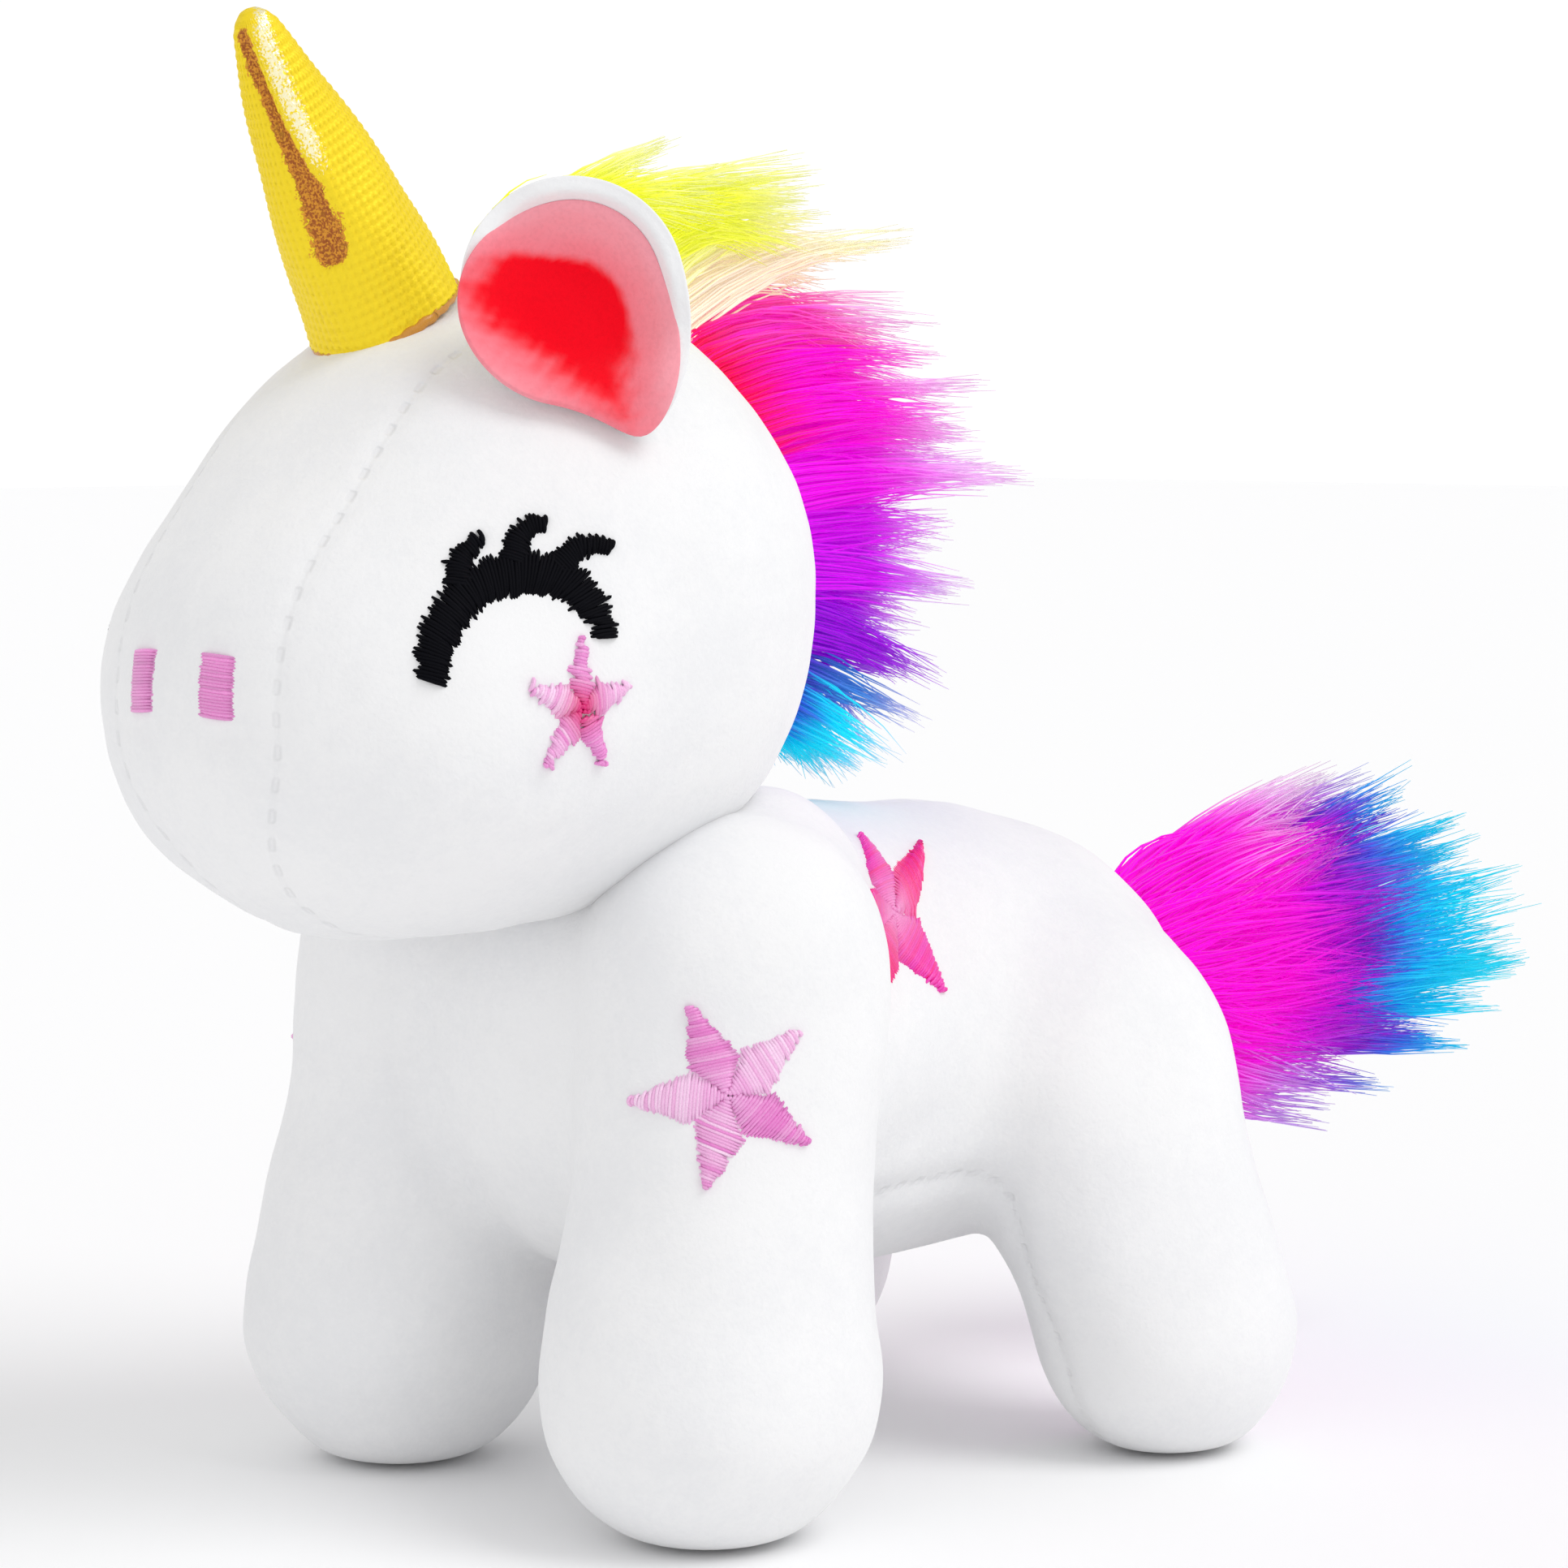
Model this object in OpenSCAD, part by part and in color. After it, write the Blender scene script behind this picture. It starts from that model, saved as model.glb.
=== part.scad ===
// Small stuffed unicorn toy, standing on four rounded feet.
// Millimetres. Z up, the toy faces -Y, its own left side is +X.
// Origin: on the floor, under the centre of the whole toy.

/* [Head] */
// radius of the round back of the head
skull_r = 27.5; // [20:0.5:40]
// height of the middle of the skull above the floor
skull_z = 79.5; // [60:0.5:110]
// how far the skull sits in front of the origin
skull_y = -43; // [-70:0.5:-20]
// half width of the muzzle
muzzle_rx = 25.5; // [15:0.5:35]
// half depth of the muzzle
muzzle_ry = 18.5; // [10:0.5:30]
// half height of the muzzle
muzzle_rz = 20; // [10:0.5:30]
// how far the muzzle sits in front of the skull
muzzle_fwd = 16; // [5:0.5:30]
// how far the muzzle hangs below the skull
muzzle_drop = 7.7; // [0:0.1:15]
// half width of the panel that runs over the face
gusset_half = 11; // [6:0.5:16]

/* [Body] */
// half width of the chest
chest_rx = 25; // [15:0.5:35]
// half width of the waist
waist_rx = 21; // [15:0.5:35]
// half width of the hips
hip_rx = 25; // [15:0.5:35]
// height of the middle of the chest
chest_z = 41; // [30:0.5:60]
// height of the middle of the hips
hip_z = 38.9; // [30:0.1:60]
// half width of the belly panel
belly_half = 18.5; // [4:0.5:20]

/* [Legs] */
// half distance between the front feet
front_foot_x = 20.7; // [14:0.1:30]
// position of the front feet along the toy
front_foot_y = -37.7; // [-50:0.1:-20]
// radius of a front foot
front_foot_r = 14.5; // [8:0.1:20]
// half distance between the rear feet
rear_foot_x = 26.5; // [14:0.1:35]
// position of the rear feet along the toy
rear_foot_y = 15.6; // [0:0.1:40]
// radius of a rear foot
rear_foot_r = 11.2; // [8:0.1:20]
// how far a leg swings each way, in degrees
leg_swing = 12; // [5:1:20]

/* [Horn] */
// radius of the horn at the head
horn_r = 6.6; // [4:0.1:10]
// length of the horn from the head to its tip
horn_len = 28.4; // [15:0.1:45]
// forward lean of the horn, in degrees
horn_lean = 30; // [0:1:50]

/* [Ears] */
// length of an ear from its pinched root to its round end
ear_len = 24.3; // [12:0.1:35]
// half width of the round end of an ear
ear_half = 9.8; // [5:0.1:14]
// how far an ear folds each way, in degrees
ear_fold = 10; // [3:1:15]

/* [Mane and tail] */
// length of the hair on the mane
mane_pile = 17; // [8:0.5:25]
// length of the tail with its hair
tail_len = 50.7; // [25:0.1:60]
// how far the tail points to the toy's left, in degrees
tail_turn = 20; // [0:1:40]
// how far the tail lifts and drops, in degrees
tail_lift = 20; // [5:1:30]

/* [Fabric] */
// thickness of the plush fabric with its short pile
plush_t = 1; // [0.6:0.1:2]
// thickness of the embroidery
thread_t = 0.6; // [0.3:0.1:1]

/* [Hidden] */

play = 0.4;         // clearance between bodies that move on each other
seam = 0.06;        // half gap between two sewn panels
nap = 0.1;          // gap between fabric and stuffing
big = 200;          // larger than the toy
links = 4;          // hull steps between two key forms

plush_c = [0.96, 0.96, 0.97];
fill_c = [0.9, 0.9, 0.88];
pink_c = [0.94, 0.47, 0.84];
hot_c = [0.95, 0.1, 0.5];
black_c = [0.05, 0.05, 0.06];
gold_c = [0.93, 0.75, 0.1];
hem_c = [0.78, 0.45, 0.08];
lining_c = [0.97, 0.45, 0.5];
mane_c = [0.85, 0.1, 0.7];
tail_c = [0.6, 0.15, 0.8];

// key forms: [centre, radii]
skull = [[0, skull_y, skull_z], [skull_r, skull_r, skull_r]];
muzzle = [[0, skull_y - muzzle_fwd, skull_z - muzzle_drop], [muzzle_rx, muzzle_ry, muzzle_rz]];
chest = [[0, -28, chest_z], [chest_rx, 17, 22.5]];
waist = [[0, -9, 38.7], [waist_rx, 17, 22.4]];
hips = [[0, 10.8, hip_z], [hip_rx, 24, 21.3]];
shoulder = [[20, -34, 44.6], [12.5, 12.5, 12.5]];
front_shin = [[20.4, -36, 27], [12.2, 12.2, 12.5]];
front_foot = [
    [front_foot_x, front_foot_y, front_foot_r - 1.3],
    [front_foot_r, front_foot_r, front_foot_r]
];
haunch = [[18, 12, 34], [13, 13, 13]];
rear_shin = [[24, 13, 21], [11, 12, 11.5]];
rear_foot = [
    [rear_foot_x, rear_foot_y, rear_foot_r - 1],
    [rear_foot_r, rear_foot_r + 0.8, rear_foot_r]
];

horn_at = [0, skull_y - 12.3, skull_z + 24.5];
tail_at = [0, 30.5, 41];
belly_top = 28;     // height of the seam round the belly panel
neck_lean = 27;     // lean of the neck axis off the vertical
neck_r = 9;
neck_top = skull_r + play;
neck_end = skull_r + 6;

// ---------------------------------------------------------------- shared shapes

function mix(a, b, t) = a * (1 - t) + b * t;

module ellipsoid(form, grow) {
    translate(form[0])
        scale(form[1] + [grow, grow, grow])
            sphere(1);
}

// A soft limb or trunk: key forms joined one after another.
module chain(forms, grow) {
    for (i = [0 : len(forms) - 2], k = [0 : links - 1])
        hull()
            for (t = [k / links, (k + 1) / links])
                ellipsoid(
                    [mix(forms[i][0], forms[i + 1][0], t), mix(forms[i][1], forms[i + 1][1], t)],
                    grow
                );
}

module mirrored(side) {
    scale([side, 1, 1])
        children();
}

// Everything on the toy's left of x, or between two values of x.
module slab(x0, x1) {
    translate([x0, -big / 2, -big / 4])
        cube([x1 - x0, big, big]);
}

module above(z) {
    translate([-big / 2, -big / 2, z])
        cube(big);
}

// Places a flat sewn shape on a surface: at a point, facing forward and up by two angles.
module facing(at, fwd, up) {
    translate(at)
        rotate([0, 0, -fwd])
            rotate([0, -up, 0])
                rotate([90, 0, 90])
                    children();
}

module stroke(p, q, r) {
    hull()
        for (m = [p, q])
            translate([m[0], m[1], -8])
                cylinder(r = r, h = 16, $fn = 10);
}

module star(r, turn) {
    for (i = [0 : 4])
        hull() {
            translate([0, 0, -9])
                cylinder(r = r * 0.36, h = 18, $fn = 10);
            rotate(turn + 72 * i)
                translate([r - 0.5, 0, -9])
                    cylinder(r = 0.5, h = 18, $fn = 6);
        }
}

// ---------------------------------------------------------------- forms

module head_form(grow, $fn = 22) {
    chain([skull, mix(skull, muzzle, 0.5), muzzle], grow);
}

module torso_form(grow, $fn = 20) {
    chain([chest, waist, hips], grow);
}

module front_leg_form(grow, $fn = 14) {
    chain([shoulder, front_shin, front_foot], grow);
}

module rear_leg_form(grow, $fn = 14) {
    chain([haunch, rear_shin, rear_foot], grow);
}

// Room a leg needs in the body through its whole swing.
module leg_pocket(top, shin, foot, $fn = 16) {
    hull() {
        ellipsoid(top, play + 0.35);
        for (a = [-leg_swing, leg_swing])
            translate(top[0])
                rotate([a, 0, 0])
                    translate(-top[0]) {
                        ellipsoid(shin, play + 0.2);
                        ellipsoid(foot, play);
                    }
    }
}

// Room the head needs in the chest while it turns and nods.
module head_pocket(extra = 0, $fn = 22) {
    ellipsoid(skull, play + extra);
    for (a = [-9, 0, 9])
        hull() {
            ellipsoid(skull, play + extra);
            translate(skull[0])
                rotate([a, 0, 0])
                    translate(-skull[0])
                        ellipsoid(muzzle, play + extra);
        }
}

module on_neck_axis() {
    translate(skull[0])
        rotate([180 + neck_lean, 0, 0])
            children();
}

module body_pockets(extra = 0) {
    for (side = [1, -1])
        mirrored(side) {
            leg_pocket(shoulder, front_shin, front_foot);
            leg_pocket(haunch, rear_shin, rear_foot);
        }
    head_pocket(extra);
    on_neck_axis()
        cylinder(r = neck_r + play, h = neck_end + play, $fn = 24);
    on_tail()
        hull() {
            sphere(r = 5 + play + extra, $fn = 16);
            for (a = [-tail_lift, tail_lift])
                rotate([a, 0, 0])
                    translate([0, 7, 0])
                        sphere(r = 4.4 + play + extra, $fn = 12);
        }
}

module torso_shell() {
    difference() {
        torso_form(0);
        torso_form(-plush_t);
        body_pockets();
    }
}

module head_cuts() {
    translate(horn_at)
        sphere(r = horn_r + play, $fn = 20);
}

module head_shell() {
    difference() {
        head_form(0);
        head_form(-plush_t);
        head_cuts();
    }
}

// ---------------------------------------------------------------- body

module body_side(side) {
    color(plush_c)
        intersection() {
            torso_shell();
            mirrored(side)
                difference() {
                    slab(seam, big);
                    translate([-1, -big / 2, -big + belly_top])
                        cube([belly_half + seam + 1, big, big]);
                }
        }
}

module body_side_left() {
    body_side(1);
}

module body_side_right() {
    body_side(-1);
}

module belly_gusset() {
    color(plush_c)
        intersection() {
            torso_shell();
            translate([-belly_half + seam, -big / 2, -big + belly_top - 2 * seam])
                cube([2 * (belly_half - seam), big, big]);
        }
}

module torso_stuffing() {
    color(fill_c)
        difference() {
            torso_form(-plush_t - nap);
            body_pockets(nap);
        }
}

module flank_star(side) {
    color(hot_c)
        mirrored(side)
            intersection() {
                difference() {
                    torso_form(thread_t + 0.05);
                    torso_form(0.05);
                    leg_pocket(shoulder, front_shin, front_foot);
                    leg_pocket(haunch, rear_shin, rear_foot);
                    head_pocket();
                }
                facing([19, -14.5, 53], 0, 28)
                    star(10, 36);
            }
}

module flank_star_left() {
    flank_star(1);
}

module flank_star_right() {
    flank_star(-1);
}

module neck_stuffing() {
    color(fill_c)
        on_neck_axis()
            rotate_extrude($fn = 40)
                polygon(concat(
                    [for (a = [0 : 3 : 18]) neck_top * [sin(a), cos(a)]],
                    [[neck_r, neck_end - 1.5], [neck_r - 1.5, neck_end], [0, neck_end]]
                ));
}

// ---------------------------------------------------------------- head

module head_side(side) {
    color(plush_c)
        intersection() {
            head_shell();
            mirrored(side)
                difference() {
                    slab(seam, big);
                    translate([-1, skull_y - 2 - big + seam, -1])
                        cube([gusset_half + 1 + seam, big, big]);
                }
        }
}

module head_side_left() {
    head_side(1);
}

module head_side_right() {
    head_side(-1);
}

module face_gusset() {
    color(plush_c)
        intersection() {
            head_shell();
            translate([-gusset_half + seam, skull_y - 2 - big - seam, -1])
                cube([2 * (gusset_half - seam), big, big]);
        }
}

module head_stuffing() {
    color(fill_c)
        difference() {
            head_form(-plush_t - nap);
            translate(horn_at)
                sphere(r = horn_r + play + nap, $fn = 20);
        }
}

// A thin skin over the head, the bed for embroidery.
module head_skin() {
    difference() {
        head_form(thread_t + 0.05);
        head_form(0.05);
    }
}

module eye(side) {
    arc_r = 6.3;
    color(black_c)
        mirrored(side)
            intersection() {
                head_skin();
                facing([22, skull_y - 17.5, 79], 22, 14) {
                    for (a = [5 : 17 : 158])
                        stroke(
                            arc_r * [cos(a), sin(a)], arc_r * [cos(a + 17), sin(a + 17)],
                            0.9 + 0.6 * sin(a)
                        );
                    for (lash = [[52, 2.4, 30], [88, 2.6, 55], [118, 2.2, 75]])
                        stroke(
                            arc_r * [cos(lash[0]), sin(lash[0])],
                            arc_r * [cos(lash[0]), sin(lash[0])]
                                + (lash[1] + 1.6) * [cos(lash[2]), sin(lash[2])],
                            0.6
                        );
                }
            }
}

module eye_left() {
    eye(1);
}

module eye_right() {
    eye(-1);
}

module cheek_star(side) {
    color(pink_c)
        mirrored(side)
            intersection() {
                head_skin();
                facing([24, skull_y - 12.6, 70.6], 16, -6)
                    star(5.4, 90);
            }
}

module cheek_star_left() {
    cheek_star(1);
}

module cheek_star_right() {
    cheek_star(-1);
}

module nostril(side) {
    color(pink_c)
        intersection() {
            head_skin();
            translate([side * 5.1, skull_y - 30, 74])
                for (x = [-1.5 : 0.5 : 1.5])
                    hull()
                        for (z = [-2.3, 2.3])
                            translate([x, 0, z])
                                rotate([90, 0, 0])
                                    cylinder(r = 0.45, h = 16, center = true, $fn = 8);
        }
}

module nostril_left() {
    nostril(1);
}

module nostril_right() {
    nostril(-1);
}

// ---------------------------------------------------------------- mane

mane_lo = -8;       // angle of the mane's lower end on the skull
mane_hi = 97;       // angle of its upper end, just over the crown

module on_skull() {
    translate(skull[0])
        rotate([90, 0, 90])
            children();
}

module mane_backing() {
    color(plush_c)
        on_skull()
            rotate([0, 0, mane_lo])
                rotate_extrude(angle = mane_hi - mane_lo, $fn = 72)
                    translate([skull_r + 0.1, -4])
                        square([0.8, 8]);
}

module mane_fur() {
    tufts = 9;
    step = (mane_hi - mane_lo - 8) / (tufts - 1);
    color(mane_c)
        intersection() {
            on_skull()
                for (i = [0 : tufts - 1]) {
                    a = mane_lo + 4 + step * i;
                    comb = 0.26 * max(a, 0);
                    hull() {
                        rotate(a)
                            translate([skull_r + 2.5, 0, 0])
                                scale([1, 1.1, 1.5])
                                    sphere(4, $fn = 10);
                        rotate(a + 4 - comb / 2)
                            translate([skull_r + mane_pile * 0.6, 0, 0])
                                scale([1, 0.8, 1.2])
                                    sphere(3.6, $fn = 8);
                        rotate(a - 4 - comb)
                            translate([skull_r + mane_pile, 0, 0])
                                sphere(0.8, $fn = 6);
                    }
                }
            on_skull()
                difference() {
                    cylinder(r = 80, h = 12, center = true, $fn = 24);
                    cylinder(r = skull_r + 1.1, h = 14, center = true, $fn = 48);
                }
        }
}

// ---------------------------------------------------------------- horn

horn_tip = 1.6;     // radius of the horn at its tip

function horn_side(inset, n) = [
    for (i = [0 : n])
        let (t = i / n)
            [max((horn_r - inset) * (1 - t) + (horn_tip - inset) * t + 0.7 * sin(180 * t), 0.3),
             t * (horn_len - horn_tip)]
];

function horn_cap(inset, n) = [
    for (i = [1 : n])
        let (a = 90 * i / n)
            [(horn_tip - inset) * cos(a), horn_len - horn_tip + (horn_tip - inset) * sin(a)]
];

module on_horn() {
    translate(horn_at)
        rotate([horn_lean, 0, 0])
            children();
}

module horn_fabric() {
    t = 0.5;
    outer = concat(horn_side(0, 8), horn_cap(0, 4));
    inner = concat(horn_side(t, 8), horn_cap(t, 4));
    n = len(inner) - 1;
    color(gold_c)
        on_horn()
            rotate_extrude($fn = 36)
                polygon(concat(outer, [for (i = [n : -1 : 0]) inner[i]]));
}

module horn_hem() {
    color(hem_c)
        on_horn()
            rotate_extrude($fn = 36)
                polygon([
                    [horn_r - 0.9, -0.05], [horn_r - 0.05, -0.05],
                    [horn_r - 0.2, -1.2], [horn_r - 0.9, -1.2]
                ]);
}

module horn_stuffing() {
    t = 0.58;
    root = [for (a = [-90 : 15 : -15]) (horn_r - 1) * [cos(a), sin(a)]];
    color(fill_c)
        on_horn()
            rotate_extrude($fn = 36)
                polygon(concat(root, [[horn_r - 1, -0.02]], horn_side(t, 8), horn_cap(t, 4)));
}

// ---------------------------------------------------------------- ears

ear_at = [21.5, skull_y - 1.7, skull_z + 20.4];
ear_hang = 5;       // how far the pinched root reaches below the fold line
ear_bowl = 12.6;    // radius of the hollow of an ear

module on_ear(side) {
    mirrored(side)
        translate(ear_at)
            rotate([0, 0, 45])
                rotate([0, -40, 0])
                    children();
}

// Teardrop seen from the front, pinched at the root and round at the top.
module ear_outline(inset) {
    steps = 9;
    root = 1.5 - ear_hang;
    lobe = ear_len - ear_hang - ear_half;
    for (i = [0 : steps - 1])
        hull()
            for (t = [i / steps, (i + 1) / steps])
                translate([0, 0, root + t * (lobe - root)])
                    rotate([90, 0, 0])
                        cylinder(
                            r = 1.5 + (ear_half - 1.5) * pow(t, 0.8) - inset,
                            h = 24, center = true, $fn = 20
                        );
}

// The head as an ear meets it while it folds to and fro.
module head_from_ear() {
    for (a = [-ear_fold, 0, ear_fold])
        rotate([a, 0, 0])
            rotate([0, 40, 0])
                rotate([0, 0, -45])
                    translate(-ear_at)
                        head_form(play);
}

module ear_dish(r, t, inset) {
    difference() {
        intersection() {
            ear_outline(inset);
            translate([0, 1 - ear_bowl, ear_len / 2 - ear_hang - 1])
                scale([1, 1, 1.4])
                    difference() {
                        sphere(r + t, $fn = 24);
                        sphere(r, $fn = 24);
                    }
            translate([-20, -11, -8])
                cube([40, 18, 50]);
        }
        head_from_ear();
    }
}

module ear_outer(side) {
    color(plush_c)
        on_ear(side)
            ear_dish(ear_bowl, 1.1, 0);
}

module ear_lining(side) {
    color(lining_c)
        on_ear(side)
            ear_dish(ear_bowl - 1, 0.85, 1);
}

module ear_left_outer() {
    ear_outer(1);
}

module ear_left_lining() {
    ear_lining(1);
}

module ear_right_outer() {
    ear_outer(-1);
}

module ear_right_lining() {
    ear_lining(-1);
}

// ---------------------------------------------------------------- tail

module on_tail() {
    translate(tail_at)
        rotate([0, 0, -tail_turn])
            children();
}

module tail_core(grow) {
    for (i = [0 : 7])
        hull()
            for (t = [i / 8, (i + 1) / 8])
                translate([0, t * 14, 0])
                    sphere(5 - 2.4 * t + grow, $fn = 12);
}

module tail_backing() {
    color(plush_c)
        on_tail()
            tail_core(0);
}

module tail_fur() {
    // [distance from the root, half width, half height]
    rings = [[8.6, 5, 6], [16, 7, 10], [25, 7.5, 12.5], [34, 6.4, 11], [41, 4.5, 8]];
    color(tail_c)
        on_tail()
            difference() {
                union() {
                    for (i = [0 : len(rings) - 2])
                        hull()
                            for (k = [i, i + 1])
                                translate([0, rings[k][0], 0])
                                    scale([rings[k][1], 4, rings[k][2]])
                                        sphere(1, $fn = 12);
                    for (tip = [[-5, 0.92], [2, 1], [8, 0.94]])
                        hull() {
                            translate([0, 36, tip[0] * 0.6])
                                sphere(3.4, $fn = 10);
                            translate([0, tail_len * tip[1] - 1, tip[0]])
                                sphere(0.8, $fn = 8);
                        }
                }
                tail_core(nap);
                sphere(r = 5.6, $fn = 16);
            }
}

// ---------------------------------------------------------------- legs

module leg_shell(kind) {
    difference() {
        if (kind == "front")
            front_leg_form(0);
        else
            rear_leg_form(0);
        intersection() {
            if (kind == "front")
                front_leg_form(-plush_t);
            else
                rear_leg_form(-plush_t);
            above(plush_t);
        }
    }
}

// Half of a leg's fabric: the outer panel, or the inner one that joins the belly panel.
module leg_panel(kind, side, outer) {
    split = kind == "front" ? front_foot_x - 0.4 : rear_foot_x - 4;
    color(plush_c)
        mirrored(side)
            intersection() {
                leg_shell(kind);
                above(0);
                if (outer)
                    slab(split + seam, big);
                else
                    slab(-big / 2, split - seam);
            }
}

module leg_filling(kind, side) {
    color(fill_c)
        mirrored(side)
            intersection() {
                if (kind == "front")
                    front_leg_form(-plush_t - nap);
                else
                    rear_leg_form(-plush_t - nap);
                above(plush_t + nap);
            }
}

module leg_front_left_outer() {
    leg_panel("front", 1, true);
}

module leg_front_left_inner() {
    leg_panel("front", 1, false);
}

module leg_front_left_stuffing() {
    leg_filling("front", 1);
}

module leg_front_right_outer() {
    leg_panel("front", -1, true);
}

module leg_front_right_inner() {
    leg_panel("front", -1, false);
}

module leg_front_right_stuffing() {
    leg_filling("front", -1);
}

module leg_rear_left_outer() {
    leg_panel("rear", 1, true);
}

module leg_rear_left_inner() {
    leg_panel("rear", 1, false);
}

module leg_rear_left_stuffing() {
    leg_filling("rear", 1);
}

module leg_rear_right_outer() {
    leg_panel("rear", -1, true);
}

module leg_rear_right_inner() {
    leg_panel("rear", -1, false);
}

module leg_rear_right_stuffing() {
    leg_filling("rear", -1);
}

module shoulder_star(side) {
    color(pink_c)
        mirrored(side)
            intersection() {
                difference() {
                    front_leg_form(thread_t + 0.05);
                    front_leg_form(0.05);
                    head_pocket();
                }
                facing(side > 0 ? [29, -42, 39] : [31.1, -36.4, 39], side > 0 ? 38 : 6, 4)
                    star(8, 112);
            }
}

module shoulder_star_left() {
    shoulder_star(1);
}

module shoulder_star_right() {
    shoulder_star(-1);
}

// ---------------------------------------------------------------- nodes

body_side_left();
body_side_right();
belly_gusset();
torso_stuffing();
flank_star_left();
flank_star_right();
neck_stuffing();
head_side_left();
head_side_right();
face_gusset();
head_stuffing();
eye_left();
eye_right();
cheek_star_left();
cheek_star_right();
nostril_left();
nostril_right();
mane_backing();
mane_fur();
horn_fabric();
horn_hem();
horn_stuffing();
ear_left_outer();
ear_left_lining();
ear_right_outer();
ear_right_lining();
tail_backing();
tail_fur();
leg_front_left_outer();
leg_front_left_inner();
leg_front_left_stuffing();
leg_front_right_outer();
leg_front_right_inner();
leg_front_right_stuffing();
leg_rear_left_outer();
leg_rear_left_inner();
leg_rear_left_stuffing();
leg_rear_right_outer();
leg_rear_right_inner();
leg_rear_right_stuffing();
shoulder_star_left();
shoulder_star_right();
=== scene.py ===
"""Looks of a small stuffed unicorn toy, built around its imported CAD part.

Shapes are worked out in millimetres in the part's own frame (floor at z = 0, the toy
faces -Y, its left side is +X) and turned into metres when a mesh is made.
"""

import logging
import math
from dataclasses import dataclass, field
from enum import Enum
from typing import Callable, Iterable, Sequence

import bmesh
import bpy
import numpy as np
from mathutils import Matrix, Vector
from mathutils.bvhtree import BVHTree


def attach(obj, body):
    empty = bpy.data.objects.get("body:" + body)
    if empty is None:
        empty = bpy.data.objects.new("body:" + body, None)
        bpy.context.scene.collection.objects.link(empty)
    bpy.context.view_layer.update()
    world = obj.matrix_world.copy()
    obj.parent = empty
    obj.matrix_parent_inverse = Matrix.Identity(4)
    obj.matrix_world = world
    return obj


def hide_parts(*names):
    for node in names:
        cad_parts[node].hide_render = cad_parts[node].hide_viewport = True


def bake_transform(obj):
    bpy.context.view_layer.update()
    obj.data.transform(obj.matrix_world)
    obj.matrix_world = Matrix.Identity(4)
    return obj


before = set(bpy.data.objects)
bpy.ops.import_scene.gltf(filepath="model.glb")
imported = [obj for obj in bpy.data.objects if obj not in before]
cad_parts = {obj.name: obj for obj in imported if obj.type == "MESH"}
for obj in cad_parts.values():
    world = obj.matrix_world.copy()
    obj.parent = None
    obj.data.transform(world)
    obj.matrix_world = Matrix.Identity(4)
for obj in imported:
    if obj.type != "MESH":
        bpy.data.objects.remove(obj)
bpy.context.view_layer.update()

MM = 0.001
SEAM_STITCH = 2.1  # length of one seam stitch, in millimetres
STITCH_PITCH = 1.35  # distance between two satin stitches, in thread radii
LOG = logging.getLogger("unicorn")
Array = np.ndarray
Colour = tuple[float, float, float]


# ------------------------------------------------------------------ number helpers


def detail(full: int) -> int:
    return full


def turned(axis: str, degrees: float) -> Array:
    """The matrix of a turn about an axis."""
    return np.array(Matrix.Rotation(math.radians(degrees), 3, axis))


def mixed(base: Array, tint: Sequence[float] | Array, share: Array) -> Array:
    """Colours moved towards a tint by a share for each of them."""
    share = share[..., None]
    return base * (1.0 - share) + np.array(tint) * share


def bell(distance: Array, width: float | Array) -> Array:
    """One in the middle, falling to nothing a few widths away."""
    return np.exp(-((distance / width) ** 2))


def stitched(run: Array, strength: float) -> Array:
    """Unevenness of a seam's depth from stitch to stitch, around one."""
    return 1.0 + strength * np.sin(run * 2.0 * math.pi / SEAM_STITCH)


def smooth_step(t: Array) -> Array:
    """Ease t from 0 to 1."""
    t = np.clip(t, 0.0, 1.0)
    return t * t * (3.0 - 2.0 * t)


def smooth_min(a: Array, b: Array, k: float) -> Array:
    """Smallest of a and b, rounded over a width k."""
    h = np.clip(0.5 + 0.5 * (b - a) / k, 0.0, 1.0)
    return b * (1.0 - h) + a * h - k * h * (1.0 - h)


def smooth_max(a: Array, b: Array, k: float) -> Array:
    """Largest of a and b, rounded over a width k."""
    return -smooth_min(-a, -b, k)


def unit(v: Array) -> Array:
    """Vectors along the last axis, scaled to length one."""
    return v / np.maximum(np.linalg.norm(v, axis=-1, keepdims=True), 1e-9)


def lumps(p: Array, size: float, seed: int) -> Array:
    """Soft irregular waves between about -1 and 1.

    Args:
        p: Points, one per row, in millimetres.
        size: Typical distance between two lumps, in millimetres.
        seed: Seed of the waves' directions.

    Returns:
        One value per point.
    """
    rng = np.random.default_rng(seed)
    total = np.zeros(len(p))
    for _ in range(7):
        direction = unit(rng.normal(size=3))
        wave = 2.0 * math.pi / (size * rng.uniform(0.7, 1.5))
        total += np.sin(p @ direction * wave + rng.uniform(0.0, 6.28))
    return total / 3.5


# ------------------------------------------------------------------ meshes


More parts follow.
